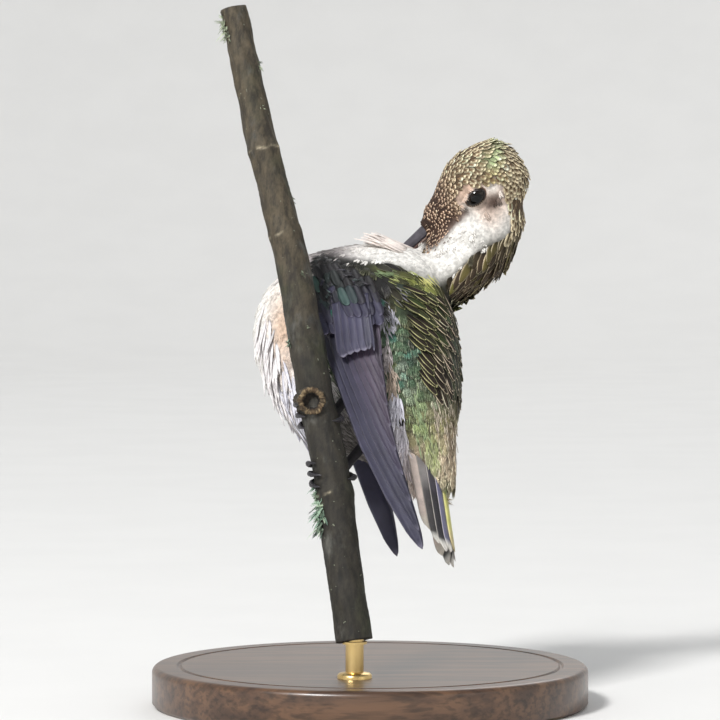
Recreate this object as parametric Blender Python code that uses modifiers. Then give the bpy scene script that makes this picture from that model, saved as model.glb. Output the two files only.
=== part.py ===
"""A life-size female hummingbird preening on an upright twig, held by a small display stand.

Metres, +Z up, the origin at the centre of the stand's underside. The bird's left side and back face -Y,
its belly faces -X. Measures are written in millimetres, as on a museum card, and the meshes are made
in metres at the end of each build.
"""

import math

import bmesh
import bpy
from mathutils import Matrix, Vector

MM = 0.001
GAP = 0.3  # clearance between neighbouring solids

# The trunk: where its middle is, and how it leans in the room
TRUNK_CENTRE = Vector((-1.5, 6.0, 43.9))
TRUNK_LEAN = math.radians(26.0)  # the shoulders lean back towards +Y
TRUNK_TILT = math.radians(2.0)  # the shoulders tip towards the belly's side
TRUNK_YAW = math.radians(14.0)  # the back turns towards -Y
# along the trunk from rump to shoulders, shift towards the back, half depth, half width
TRUNK_STATIONS = (
    (-20.6, 9.1, 2.3, 2.0),
    (-19.0, 8.4, 3.7, 2.8),
    (-16.5, 7.1, 5.1, 3.7),
    (-14.2, 5.3, 7.0, 4.9),
    (-12.3, 3.4, 9.0, 6.4),
    (-9.8, 1.9, 10.8, 7.5),
    (-6.5, 1.0, 12.1, 8.4),
    (-3.0, 0.2, 13.0, 9.0),
    (0.5, -0.4, 13.4, 9.2),
    (4.0, -0.6, 13.2, 8.9),
    (7.0, -0.6, 12.5, 8.2),
    (9.4, -0.3, 11.5, 7.1),
    (11.2, 0.0, 10.1, 5.8),
    (12.5, 0.0, 8.4, 4.6),
    (13.4, 0.0, 6.4, 3.2),
)
TRUNK_ENDS = (-21.6, 13.8)

# The head: the bill points down towards the belly's side and a little away
HEAD_CENTRE = Vector((13.3, 11.0, 63.6))
BILL_DROP = math.radians(41.6)
BILL_AWAY = math.radians(9.0)
HEAD_ROLL = math.radians(17.0)  # the crown turns towards -Y
# forward of the head's centre, half width, height over its axis, depth under it
HEAD_STATIONS = (
    (-6.8, 2.6, 2.7, 2.7),
    (-5.6, 4.1, 4.1, 4.1),
    (-3.5, 5.0, 4.9, 4.9),
    (-1.2, 5.4, 5.4, 5.3),
    (1.0, 5.1, 5.1, 5.1),
    (3.0, 4.2, 4.2, 4.5),
    (4.8, 3.2, 3.3, 3.6),
    (6.5, 2.4, 2.9, 2.6),
    (8.1, 1.8, 2.3, 1.8),
)
HEAD_ENDS = (-7.3, 8.6)
EYE_PLACE = Vector((-0.3, 4.05, 0.6))  # forward, to the side, up
EYE_RADIUS = 1.85

NECK_ROUTE = (
    Vector((3.5, 9.0, 48.5)),
    Vector((8.8, 10.7, 53.2)),
    Vector((13.6, 11.2, 57.6)),
    Vector((15.6, 11.1, 62.5)),
)
NECK_RADII = (5.2, 4.6, 5.1, 4.6)

BILL_LENGTH = 16.5
BILL_ROOT = 6.6  # where the horn starts, under the feathers, forward of the head's centre
BILL_LEVEL = 0.1  # height of the gape over the head's axis
BILL_WIDTH = 1.9
BILL_TIP_WIDTH = 0.7
BILL_DEPTHS = (1.15, 0.95)  # of the upper and of the lower half, at the root
BILL_TIP_DEPTH = 0.42
BILL_SAG = 0.35  # how far the tip curves down

# Wings: folded, drooping, tips towards -Y
WRISTS = {"left": Vector((-6.0, -0.5, 53.5)), "right": Vector((-5.0, 21.2, 51.5))}
WING_TIPS = {"left": Vector((6.2, -19.2, 21.4)), "right": Vector((3.6, 4.6, 17.8))}
WING_OUTWARD = {"left": Vector((0.1, -1.0, 0.0)), "right": Vector((0.1, 1.0, 0.0))}
ARM_STATIONS = (  # along the wing, front edge, rear edge, thickness
    (-0.8, -0.6, 1.6, 1.2),
    (0.6, -1.4, 3.6, 2.2),
    (2.8, -2.0, 5.6, 2.8),
    (5.2, -2.4, 6.2, 2.5),
    (7.6, -2.6, 6.2, 1.6),
)
ARM_ENDS = (-1.6, 8.2)
PRIMARY_TIPS = (13.2, 15.3, 17.4, 19.8, 22.6, 25.8, 29.2, 32.8, 36.8)  # along the wing
FRONT_EDGE = ((0.0, -1.4), (0.12, -2.3), (0.28, -2.9), (0.6, -2.9), (0.8, -2.1), (0.93, -1.2), (1.0, -0.4))
REAR_EDGE = ((0.0, 5.8), (0.2, 5.2), (0.36, 4.1), (0.55, 2.6), (0.75, 1.5), (0.9, 0.9), (1.0, 0.4))
BLADE_START = 8.5
PRIMARY_LEVEL = -0.45  # under the wing's middle plane
BLADE_THICKNESS = 0.65
BLADE_ARCH = 0.035
SECONDARIES = 6
SECONDARY_EDGES = (0.2, 5.9)  # across the wing, of the outermost feather and of the innermost
SECONDARY_END = 13.8
SECONDARY_NOTCH = 0.55  # between the rounded ends of two neighbours
SECONDARY_STEP = 0.12  # how much shorter each half feather further out is
SECONDARY_LEVEL = 0.62  # over the wing's middle plane
SECONDARY_ARCH = 0.5
SECONDARY_THICKNESS = 0.6

# Tail: ten folded feathers, arched over like half a pipe
TAIL_BASE = Vector((7.3, 3.9, 39.0))
TAIL_TIP = Vector((10.0, -10.8, 19.2))
TAIL_PAIR_LENGTHS = (0.96, 0.99, 1.0, 0.965, 0.89)  # of the longest, from the middle pair out
TAIL_RADIUS = 4.4  # of the arch
TAIL_SPREAD = 4.2  # from the middle to the outermost shaft round the arch, at the tips
TAIL_ROOT_SPREAD = 5.4
VANE_HALF_WIDTH = 1.5
TAIL_THICKNESS = 0.9

# Legs and feet
TOE_RADIUS = 0.42
CLAW_RADIUS = 0.24
PALM_RADIUS = 0.75
LEG_RADIUS = 0.6
KNUCKLE_RISE = 0.22  # how far a toe's middle stands off the bark
TOE_TAPER = 0.85  # of the toe's radius, where the claw begins
CLAW_START = 0.75  # part of the way along a toe
FOOT_HEIGHTS = {"left": 36.4, "right": 29.4}
PALM_BEARINGS = {"left": math.radians(58.0), "right": math.radians(70.0)}
HIPS = {"left": Vector((-2.0, -1.0, 39.5)), "right": Vector((1.5, 1.5, 35.0))}
FRONT_TOES = (-24.0, 0.0, 24.0)  # slant of each, degrees
FRONT_TOE_REACH = 3.2  # over which that slant is climbed
FRONT_TOE_TURN = 172.0  # degrees round the twig
HIND_TOE_TURN = -112.0
HIND_TOE_RISE = -0.5

# Perch and stand
TWIG_ROUTE = (  # x along the height, from the cut lower end to the cut upper end
    (9.5, -1.9),
    (21.0, -3.6),
    (29.0, -4.6),
    (37.5, -6.4),
    (50.0, -8.6),
    (56.5, -9.9),
    (71.0, -13.6),
    (86.0, -16.8),
)
TWIG_DEPTH = -7.6  # y of the twig at TWIG_LEVEL
TWIG_LEVEL = 44.0
TWIG_SLOPE = 0.176  # its upper end leans back
TWIG_RADIUS = 2.2
TWIG_TOP_RADIUS = 1.65
TWIG_SCARS = (27.0, 58.3, 68.6)  # heights of the swollen rings
STUB_HEIGHT = 38.3
STUB_SHIFT = -0.55  # from the twig's middle towards the belly's side
STUB_RADIUS = 1.55
STUB_LENGTH = 3.1
STUB_FLARE = (1.15, 1.1, 1.0)  # of its radius, from the twig to the cut end
STAND_RADIUS = 27.0
STAND_HEIGHT = 5.0
STAND_BEVEL = 0.8
ROD_RADIUS = 1.1
ROD_DEPTH = 3.0  # how far the rod goes up into the twig

SIDES = {"left": 1.0, "right": -1.0}


def clear_scene():
    for thing in list(bpy.data.objects):
        bpy.data.objects.remove(thing)


def new_collection(name, helpers=False):
    made = bpy.data.collections.new(name)
    bpy.context.scene.collection.children.link(made)
    made.hide_render = helpers
    return made


def new_material(name, colour, roughness, metallic=0.0):
    material = bpy.data.materials.new(name)
    material.use_nodes = True
    shader = material.node_tree.nodes["Principled BSDF"]
    shader.inputs["Base Color"].default_value = (*colour, 1.0)
    shader.inputs["Roughness"].default_value = roughness
    shader.inputs["Metallic"].default_value = metallic
    return material


def between(table, at):
    """Read a short table of (place, value) pairs, in straight steps."""
    for (start, low), (end, high) in zip(table, table[1:]):
        if at <= end:
            part = max(0.0, (at - start) / (end - start))
            return low + (high - low) * part
    return table[-1][1]


def smooth_route(points, steps):
    """Points of a Catmull-Rom curve through the given ones, with their values 0 to 1 along it."""
    ends = [points[0] * 2 - points[1], *points, points[-1] * 2 - points[-2]]
    made = []
    for i in range(len(points) - 1):
        a, b, c, d = ends[i : i + 4]
        for k in range(steps):
            t = k / steps
            place = b * 2 + (c - a) * t + (a * 2 - b * 5 + c * 4 - d) * t**2 + (b * 3 - a - c * 3 + d) * t**3
            made.append((place * 0.5, (i + t) / (len(points) - 1)))
    made.append((points[-1].copy(), 1.0))
    return made


def oval(centre, across, over, half_across, over_height, under_height, sides=24):
    """A ring in the plane of two directions, taller on one side than on the other if so wanted."""
    ring = []
    for k in range(sides):
        angle = 2.0 * math.pi * k / sides
        height = over_height if math.sin(angle) > 0 else under_height
        ring.append(centre + across * half_across * math.cos(angle) + over * height * math.sin(angle))
    return ring


def loft(sections):
    """A closed mesh through rings of equal count. A section of one point closes an end to that point."""
    shape = bmesh.new()
    rows = [[shape.verts.new(point * MM) for point in section] for section in sections]
    for first, second in zip(rows, rows[1:]):
        count = max(len(first), len(second))
        for k in range(count):
            corners = [first[k % len(first)], first[(k + 1) % len(first)]]
            corners += [second[(k + 1) % len(second)], second[k % len(second)]]
            shape.faces.new(list(dict.fromkeys(corners)))
    for end in (rows[0], rows[-1]):
        if len(end) > 1:
            shape.faces.new(end)
    bmesh.ops.recalc_face_normals(shape, faces=shape.faces)
    if shape.calc_volume(signed=True) < 0:
        bmesh.ops.reverse_faces(shape, faces=shape.faces)
    return shape


def tube(route, radii, sides=10):
    """A round tube along a list of points, with one radius for each."""
    rings = []
    across = None
    for i, (point, radius) in enumerate(zip(route, radii)):
        ahead = (route[min(i + 1, len(route) - 1)] - route[max(i - 1, 0)]).normalized()
        if across is None:
            across = ahead.orthogonal().normalized()
        across = (across - ahead * across.dot(ahead)).normalized()
        over = ahead.cross(across)
        rings.append(oval(point, across, over, radius, radius, radius, sides))
    return loft(rings)


def ball(centre, radius, rows=12):
    shape = bmesh.new()
    bmesh.ops.create_uvsphere(shape, u_segments=2 * rows, v_segments=rows, radius=radius * MM)
    bmesh.ops.translate(shape, vec=centre * MM, verts=shape.verts)
    return shape


def add_object(name, shape, collection, material=None, grow=0.0):
    """Turn a bmesh into an object, swollen along its normals where it is to be a cutter."""
    if grow:
        shape.normal_update()
        moves = [(vert, vert.normal * grow * MM) for vert in shape.verts]
        for vert, move in moves:
            vert.co += move
    mesh = bpy.data.meshes.new(name)
    shape.to_mesh(mesh)
    shape.free()
    made = bpy.data.objects.new(name, mesh)
    collection.objects.link(made)
    if material:
        mesh.materials.append(material)
        mesh.shade_smooth()
        mesh.set_sharp_from_angle(angle=math.radians(40.0))
    else:
        made.display_type = "WIRE"
        made.hide_render = True
    return made


def carve(target, tool, operation="DIFFERENCE"):
    cut = target.modifiers.new(f"{operation} {tool.name}", "BOOLEAN")
    cut.operation = operation
    cut.solver = "EXACT"
    cut.object = tool


# ---- trunk, neck and head


def trunk_axes():
    """Up along the trunk, out to its left side, and out through its back."""
    lean = Matrix.Rotation(-TRUNK_LEAN, 3, "X")
    tilt = Matrix.Rotation(-TRUNK_TILT, 3, "Y")
    yaw = Matrix.Rotation(-TRUNK_YAW, 3, "Z")
    stance = lean @ tilt @ yaw
    return stance @ Vector((0, 0, 1)), stance @ Vector((0, -1, 0)), stance @ Vector((1, 0, 0))


def trunk_shape():
    up, left, back = trunk_axes()
    rings = []
    for along, shift, depth, width in TRUNK_STATIONS:
        centre = TRUNK_CENTRE + up * along + back * shift
        rings.append(oval(centre, left, back, width, depth, depth, 32))
    low, high = TRUNK_ENDS
    first = TRUNK_CENTRE + up * low + back * TRUNK_STATIONS[0][1]
    last = TRUNK_CENTRE + up * high + back * TRUNK_STATIONS[-1][1]
    return loft([[first], *rings, [last]])


def head_axes():
    """Forward along the bill, out to the left side, and up through the crown."""
    flat = math.cos(BILL_AWAY)
    forward = Vector((-math.cos(BILL_DROP) * flat, math.sin(BILL_AWAY), -math.sin(BILL_DROP) * flat))
    level = Vector((-math.sin(BILL_DROP), 0, math.cos(BILL_DROP)))
    level = (level - forward * level.dot(forward)).normalized()
    side = level.cross(forward)
    up = level * math.cos(HEAD_ROLL) + side * math.sin(HEAD_ROLL)
    return forward, up.cross(forward), up


def head_shape():
    forward, left, up = head_axes()
    rings = [
        oval(HEAD_CENTRE + forward * along, left, up, width, over, under)
        for along, width, over, under in HEAD_STATIONS
    ]
    low, high = HEAD_ENDS
    first = HEAD_CENTRE + forward * low
    last = HEAD_CENTRE + forward * high + up * BILL_LEVEL
    return loft([[first], *rings, [last]])


def neck_shape():
    route = smooth_route(NECK_ROUTE, 4)
    steps = len(NECK_RADII) - 1
    table = [(i / steps, radius) for i, radius in enumerate(NECK_RADII)]
    return tube([point for point, _ in route], [between(table, at) for _, at in route], 24)


def eye_centre(side):
    forward, left, up = head_axes()
    return HEAD_CENTRE + forward * EYE_PLACE.x + left * (SIDES[side] * EYE_PLACE.y) + up * EYE_PLACE.z


def bill_half(sign):
    """One half of the bill, a half-round taper. sign is 1 for the upper half and -1 for the lower."""
    forward, left, up = head_axes()
    depth = BILL_DEPTHS[0] if sign > 0 else BILL_DEPTHS[1]
    rings = []
    steps = 8
    full = BILL_LENGTH + HEAD_ENDS[1] - BILL_ROOT
    for i in range(steps + 1):
        part = i / steps
        half = (BILL_WIDTH + (BILL_TIP_WIDTH - BILL_WIDTH) * part) / 2
        thick = depth + (BILL_TIP_DEPTH - depth) * part
        sag = up * (BILL_LEVEL - BILL_SAG * part**2 + sign * GAP / 2)
        centre = HEAD_CENTRE + forward * (BILL_ROOT + full * part) + sag
        arc = [math.pi * k / 8 for k in range(9)]
        rings.append([centre + left * half * math.cos(a) + up * sign * thick * math.sin(a) for a in arc])
    return loft(rings)


def bill_pocket():
    """The whole bill with room round it, to cut its way into the plumage."""
    forward, left, up = head_axes()
    rings = []
    full = BILL_LENGTH + HEAD_ENDS[1] - BILL_ROOT
    for part in (-0.05, 0.0, 0.25, 0.5, 0.75, 1.0, 1.025):
        half = (BILL_WIDTH + (BILL_TIP_WIDTH - BILL_WIDTH) * part) / 2 + GAP
        over, under = (depth + (BILL_TIP_DEPTH - depth) * part + 1.5 * GAP for depth in BILL_DEPTHS)
        centre = HEAD_CENTRE + forward * (BILL_ROOT + full * part) + up * (BILL_LEVEL - BILL_SAG * part**2)
        rings.append(oval(centre, left, up, half, over, under, 16))
    return loft(rings)


def build_body(parts, helpers, finishes):
    trunk_room = add_object("trunk_room", trunk_shape(), helpers, grow=GAP)
    head_room = add_object("head_room", head_shape(), helpers, grow=GAP)
    pocket = add_object("bill_pocket", bill_pocket(), helpers)
    trunk = add_object("trunk", trunk_shape(), parts, finishes["plumage"])
    head = add_object("head", head_shape(), parts, finishes["crown"])
    neck = add_object("neck", neck_shape(), parts, finishes["plumage"])
    carve(neck, head_room)
    carve(neck, trunk_room)
    for flesh in (trunk, head, neck):
        carve(flesh, pocket)
    carve(trunk, head_room)
    for side in SIDES:
        centre = eye_centre(side)
        socket = add_object(f"socket_{side}", ball(centre, EYE_RADIUS + GAP), helpers)
        carve(head, socket)
        add_object(f"eye_{side}", ball(centre, EYE_RADIUS), parts, finishes["eye"])
    add_object("bill_upper", bill_half(1.0), parts, finishes["horn"])
    add_object("bill_lower", bill_half(-1.0), parts, finishes["horn"])
    return trunk_room


# ---- wings and tail


def wing_axes(side):
    """Along the folded wing to its tip, across from its front edge to its rear edge, and outward."""
    along = (WING_TIPS[side] - WRISTS[side]).normalized()
    outward = WING_OUTWARD[side]
    outward = (outward - along * outward.dot(along)).normalized()
    across = outward.cross(along)
    if across.x < 0:
        across.negate()
    return along, across, outward


def arm_shape(side):
    along, across, outward = wing_axes(side)
    rings = []
    for at, front, rear, thick in ARM_STATIONS:
        centre = WRISTS[side] + along * at + across * ((front + rear) / 2)
        half = (rear - front) / 2
        rings.append(oval(centre, across, outward, half, thick / 2, thick * 0.9, 20))
    ends = [WRISTS[side] + along * at + across * shift for at, shift in zip(ARM_ENDS, (0.4, 1.8))]
    return loft([[ends[0]], *rings, [ends[1]]])


def blade_section(side, at, front, rear, level, thick):
    """A thin cambered strip across the wing, arched outward in its middle."""
    along, across, outward = wing_axes(side)
    middle = (front + rear) / 2
    half = max(0.05, (rear - front) / 2)
    places = [-1.0, -0.5, 0.0, 0.5, 1.0]
    upper, lower = [], []
    for place in places:
        rise = level + BLADE_ARCH * half * half * (1.0 - place * place)
        point = WRISTS[side] + along * at + across * (middle + half * place) + outward * rise
        upper.append(point + outward * thick / 2)
        lower.append(point - outward * thick / 2)
    return upper + lower[::-1]


def primaries_shape(side):
    """The ten long feathers as one blade, its rear edge stepped at each shorter feather's tip."""
    span = (WING_TIPS[side] - WRISTS[side]).length
    stations = [BLADE_START, 11.0]
    for tip in PRIMARY_TIPS:
        stations += [tip - 0.9, tip, tip + 0.12]
    stations += [span * part for part in (0.94, 0.965, 0.985, 1.0)]
    sections = []
    for at in stations:
        part = at / span
        front = between(FRONT_EDGE, part)
        rear = between(REAR_EDGE, part)
        if any(abs(at - tip - 0.12) < 0.001 for tip in PRIMARY_TIPS):
            rear -= 0.35
        sections.append(blade_section(side, at, front, rear, PRIMARY_LEVEL, BLADE_THICKNESS))
    return loft(sections)


def secondaries_shape(side):
    """The short square-ended feathers that lie over the long ones' roots."""
    sections = []
    steps = 2 * SECONDARIES
    along, across, outward = wing_axes(side)
    first, last = SECONDARY_EDGES
    middle = SECONDARY_LEVEL - SECONDARY_THICKNESS / 2
    for i in range(steps + 1):
        shift = first + (last - first) * i / steps
        notch = SECONDARY_NOTCH if i % 2 == 0 else 0.0
        end = SECONDARY_END - notch - SECONDARY_STEP * (steps - i)
        arch = SECONDARY_ARCH * (1.0 - ((shift - 2.0) / 5.0) ** 2)
        ring = []
        for at, level in ((BLADE_START, 1.0), (BLADE_START, 0.0), (end, 0.0), (end, 1.0)):
            rise = middle + level * SECONDARY_THICKNESS + arch
            ring.append(WRISTS[side] + along * at + across * shift + outward * rise)
        sections.append(ring)
    return loft(sections)


def tail_axes():
    """Down the tail to its tip, out to its left, and out through its upper surface."""
    _, _, back = trunk_axes()
    down = (TAIL_TIP - TAIL_BASE).normalized()
    back = (back - down * back.dot(down)).normalized()
    return down, down.cross(back), back


def tail_point(at, place, level):
    """A point of the tail: down it, round its arch from the middle, and over the middle of its shell."""
    down, left, back = tail_axes()
    bend = place / TAIL_RADIUS
    radius = TAIL_RADIUS + level
    rise = radius * math.cos(bend) - TAIL_RADIUS
    return TAIL_BASE + down * at + left * radius * math.sin(bend) + back * rise


def tail_shape():
    """The folded tail, lofted from its left edge to its right, each feather with its own rounded tip."""
    length = (TAIL_TIP - TAIL_BASE).length
    pairs = len(TAIL_PAIR_LENGTHS)
    outermost = pairs - 0.5
    shafts = [-(i + 0.5) / outermost for i in reversed(range(pairs))]
    shafts += [(i + 0.5) / outermost for i in range(pairs)]
    lengths = list(reversed(TAIL_PAIR_LENGTHS)) + list(TAIL_PAIR_LENGTHS)
    half_step = TAIL_SPREAD / outermost / 2
    half = TAIL_THICKNESS / 2
    sections = []
    for shaft, part in zip(shafts, lengths):
        for offset in (-0.8, -0.3, 0.3, 0.8):
            place = shaft * TAIL_SPREAD + offset * half_step
            if abs(shaft) == 1.0 and offset * shaft > 0:
                place = shaft * (TAIL_SPREAD + VANE_HALF_WIDTH * abs(offset))
            reach = length * part - 0.9 * offset**2
            root = place / TAIL_SPREAD * TAIL_ROOT_SPREAD
            corners = ((0.0, root, half), (0.0, root, -half), (reach, place, -half), (reach, place, half))
            sections.append([tail_point(*corner) for corner in corners])
    return loft(sections)


def build_wings_and_tail(parts, helpers, finishes, trunk_room):
    for side in SIDES:
        arm = add_object(f"wing_{side}_arm", arm_shape(side), parts, finishes["coverts"])
        primaries = add_object(f"wing_{side}_primaries", primaries_shape(side), parts, finishes["flight"])
        secondaries = add_object(
            f"wing_{side}_secondaries", secondaries_shape(side), parts, finishes["flight"]
        )
        for piece in (arm, primaries, secondaries):
            carve(piece, trunk_room)
    tail = add_object("tail", tail_shape(), parts, finishes["tail"])
    carve(tail, trunk_room)


# ---- perch, legs and stand


def twig_point(height):
    """The middle of the twig at a height."""
    route = smooth_route([Vector((x, 0, z)) for z, x in TWIG_ROUTE], 6)
    table = [(point.z, point.x) for point, _ in route]
    return Vector((between(table, height), TWIG_DEPTH + (height - TWIG_LEVEL) * TWIG_SLOPE, height))


def twig_radius(height):
    low, high = TWIG_ROUTE[0][0], TWIG_ROUTE[-1][0]
    part = max(0.0, (height - TWIG_LEVEL) / (high - TWIG_LEVEL))
    radius = TWIG_RADIUS + (TWIG_TOP_RADIUS - TWIG_RADIUS) * part
    for scar in TWIG_SCARS:
        radius += 0.16 * math.exp(-(((height - scar) / 0.8) ** 2))
    return radius + 0.05 * math.sin(height * 0.9 + low)


def build_perch(parts, helpers, finishes):
    low, high = TWIG_ROUTE[0][0], TWIG_ROUTE[-1][0]
    steps = 38
    heights = [low + (high - low) * i / steps for i in range(steps + 1)]
    shape = tube([twig_point(z) for z in heights], [twig_radius(z) for z in heights], 16)
    twig = add_object("perch_twig", shape, parts, finishes["bark"])
    root = twig_point(STUB_HEIGHT)
    reach = [root + Vector((STUB_SHIFT, -STUB_LENGTH * part, 0.0)) for part in (0.0, 0.5, 1.0)]
    stub = add_object("twig_stub", tube(reach, [STUB_RADIUS * part for part in STUB_FLARE], 14), helpers)
    carve(twig, stub, "UNION")
    drilled = rod_shape(ROD_RADIUS + GAP, low - 2.0, low + ROD_DEPTH + GAP)
    carve(twig, add_object("rod_hole", drilled, helpers))


def around_twig(height, bearing, distance):
    """A point beside the twig, at a bearing from +X."""
    return twig_point(height) + Vector((math.cos(bearing), math.sin(bearing), 0)) * distance


def toe_shape(height, start, turn, rise):
    """One toe and its claw, wrapped round the twig from a bearing, through a turn in degrees."""
    route, radii = [], []
    steps = 9
    for i in range(steps + 1):
        part = i / steps
        bearing = start + math.radians(turn) * part
        level = height + rise * math.sin(part * 1.5)
        claw = max(0.0, (part - CLAW_START) / (1.0 - CLAW_START))
        toe_end = TOE_RADIUS * (1.0 + (TOE_TAPER - 1.0) * min(1.0, part / CLAW_START))
        radius = toe_end + (CLAW_RADIUS - toe_end) * claw
        knuckle = KNUCKLE_RISE * math.sin(part * math.pi)
        distance = twig_radius(level) + GAP + TOE_RADIUS + knuckle
        route.append(around_twig(level, bearing, distance))
        radii.append(radius)
    return tube(route, radii, 8)


def build_foot(side, parts, helpers, finishes, trunk_room):
    height = FOOT_HEIGHTS[side]
    bearing = PALM_BEARINGS[side]
    palm = around_twig(height, bearing, TWIG_RADIUS + GAP + PALM_RADIUS + 0.1)
    foot = add_object(f"foot_{side}", ball(palm, PALM_RADIUS, 8), parts, finishes["scales"])
    for i, slant in enumerate(FRONT_TOES):
        rise = math.tan(math.radians(slant)) * FRONT_TOE_REACH
        toe = toe_shape(height, bearing, FRONT_TOE_TURN - abs(slant) / 2, rise)
        carve(foot, add_object(f"toe_{side}_{i}", toe, helpers), "UNION")
    hallux = toe_shape(height, bearing, HIND_TOE_TURN, HIND_TOE_RISE)
    carve(foot, add_object(f"hallux_{side}", hallux, helpers), "UNION")
    hip = HIPS[side]
    ankle = palm + (hip - palm).normalized() * (PALM_RADIUS + GAP)
    leg = add_object(
        f"leg_{side}", tube([hip, ankle], [LEG_RADIUS * 1.4, LEG_RADIUS], 12), parts, finishes["scales"]
    )
    carve(leg, trunk_room)


def rod_shape(radius, bottom, top):
    """An upright cylinder under the twig's lower end."""
    foot = twig_point(TWIG_ROUTE[0][0])
    ends = [Vector((foot.x, foot.y, bottom)), Vector((foot.x, foot.y, top))]
    return tube(ends, [radius] * 2, 20)


def build_stand(parts, finishes):
    base = bmesh.new()
    bmesh.ops.create_cone(
        base,
        cap_ends=True,
        segments=64,
        radius1=STAND_RADIUS * MM,
        radius2=STAND_RADIUS * MM,
        depth=STAND_HEIGHT * MM,
    )
    bmesh.ops.translate(base, vec=Vector((0, 0, STAND_HEIGHT / 2)) * MM, verts=base.verts)
    plinth = add_object("stand_base", base, parts, finishes["plinth"])
    rounding = plinth.modifiers.new("Rounded edges", "BEVEL")
    rounding.width = STAND_BEVEL * MM
    rounding.segments = 3
    rod = rod_shape(ROD_RADIUS, STAND_HEIGHT + GAP, TWIG_ROUTE[0][0] + ROD_DEPTH)
    add_object("stand_rod", rod, parts, finishes["rod"])


def make_finishes():
    return {
        "plumage": new_material("plumage", (0.55, 0.52, 0.42), 0.8),
        "crown": new_material("crown", (0.30, 0.26, 0.13), 0.7),
        "coverts": new_material("coverts", (0.10, 0.22, 0.14), 0.5),
        "flight": new_material("flight_feathers", (0.10, 0.09, 0.13), 0.5),
        "tail": new_material("tail_feathers", (0.16, 0.24, 0.10), 0.5),
        "horn": new_material("bill_horn", (0.07, 0.06, 0.07), 0.35),
        "eye": new_material("eye", (0.01, 0.01, 0.01), 0.05),
        "scales": new_material("foot_scales", (0.06, 0.05, 0.05), 0.6),
        "bark": new_material("bark", (0.24, 0.20, 0.15), 0.9),
        "plinth": new_material("plinth_wood", (0.10, 0.06, 0.04), 0.4),
        "rod": new_material("brass", (0.80, 0.60, 0.28), 0.3, 1.0),
    }


def main():
    clear_scene()
    parts = new_collection("hummingbird")
    helpers = new_collection("cutters", helpers=True)
    finishes = make_finishes()
    trunk_room = build_body(parts, helpers, finishes)
    build_wings_and_tail(parts, helpers, finishes, trunk_room)
    build_perch(parts, helpers, finishes)
    for side in SIDES:
        build_foot(side, parts, helpers, finishes, trunk_room)
    build_stand(parts, finishes)


main()
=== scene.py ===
"""Looks of a life-size hummingbird preening on a twig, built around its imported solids.

Lengths are in millimetres until a mesh is made, and UNIT turns them into metres. Forward, side and up
are the head's own directions; along, left and back are the trunk's, and height is along it and outwards.
"""

import itertools
import math

import bmesh
import bpy
import numpy as np
from mathutils import Matrix, Vector


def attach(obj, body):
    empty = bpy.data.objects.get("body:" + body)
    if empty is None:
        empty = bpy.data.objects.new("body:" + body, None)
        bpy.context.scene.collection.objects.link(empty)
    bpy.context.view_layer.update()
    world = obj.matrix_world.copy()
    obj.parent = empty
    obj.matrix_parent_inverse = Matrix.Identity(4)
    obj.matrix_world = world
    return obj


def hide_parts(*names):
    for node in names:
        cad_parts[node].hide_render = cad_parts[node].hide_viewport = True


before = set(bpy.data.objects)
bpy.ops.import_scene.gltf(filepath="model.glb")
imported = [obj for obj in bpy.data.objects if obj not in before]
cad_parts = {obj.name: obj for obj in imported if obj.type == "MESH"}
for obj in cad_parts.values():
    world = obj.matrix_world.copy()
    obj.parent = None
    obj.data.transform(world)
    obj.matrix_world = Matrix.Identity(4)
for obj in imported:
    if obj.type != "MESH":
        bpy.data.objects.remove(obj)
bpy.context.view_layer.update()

UNIT = 0.001
SEED = 11
NEAR_AXIS = 0.02  # the smallest ring of a closed shape, so that no face shrinks to a line

# The bird's stance, as its solids were made
TRUNK_CENTRE = np.array((-1.5, 6.0, 43.9))
TRUNK_LEAN, TRUNK_TILT, TRUNK_YAW = 26.0, 2.0, 14.0
HEAD_CENTRE = np.array((13.3, 11.0, 63.6))
BILL_DROP, BILL_AWAY, HEAD_ROLL = 41.6, 9.0, 17.0
EYE_PLACE = (-0.15, 3.6, 0.85)
EYE_HALF = (1.75, 1.35, 1.75)  # forward, up and out
EYE_OPENING = (1.27, 0.84)  # half its length and half its height
SKIN_OVER_EYE, HEAD_RADIUS = 1.2, 5.0  # the skin's height there, and the curve of the head
BILL_ROOT, BILL_END, BILL_LEVEL, BILL_SAG = 6.6, 25.1, 0.1, 0.35
WRISTS = {"left": np.array((-6.0, -0.5, 53.5)), "right": np.array((-5.0, 21.2, 51.5))}
WING_TIPS = {"left": np.array((6.2, -19.2, 21.4)), "right": np.array((3.6, 4.6, 17.8))}
WING_OUTWARD = {"left": np.array((0.1, -1.0, 0.0)), "right": np.array((0.1, 1.0, 0.0))}
TAIL_BASE = np.array((7.3, 3.9, 39.0))
TAIL_TIP = np.array((10.0, -10.8, 19.2))
SIDES = {"left": 1.0, "right": -1.0}

# Colours, linear
WHITE = (0.95, 0.92, 0.87)
PEACH = (0.66, 0.44, 0.30)
LILAC = (0.52, 0.50, 0.56)
OLIVE = (0.16, 0.13, 0.045)
BROWN = (0.075, 0.050, 0.030)
BRONZE = (0.22, 0.20, 0.05)
TEAL = (0.02, 0.14, 0.10)
SOOT = (0.018, 0.016, 0.018)
DUSK = (0.047, 0.044, 0.082)
SHEEN = (0.10, 0.26, 0.20)
SPRING = (0.27, 0.35, 0.16)


def unit(vectors):
    """Vectors scaled to a length of 1."""
    vectors = np.asarray(vectors, float)
    return vectors / np.maximum(np.linalg.norm(vectors, axis=-1, keepdims=True), 1e-9)


def step(low, high, value):
    """0 under low, 1 over high, and smooth between."""
    t = np.clip((value - low) / (high - low), 0.0, 1.0)
    return t * t * (3.0 - 2.0 * t)


def blend(first, second, part):
    """From the first to the second as part goes from 0 to 1."""
    part = np.asarray(part)[..., None]
    return np.asarray(first) * (1.0 - part) + np.asarray(second) * part


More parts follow.
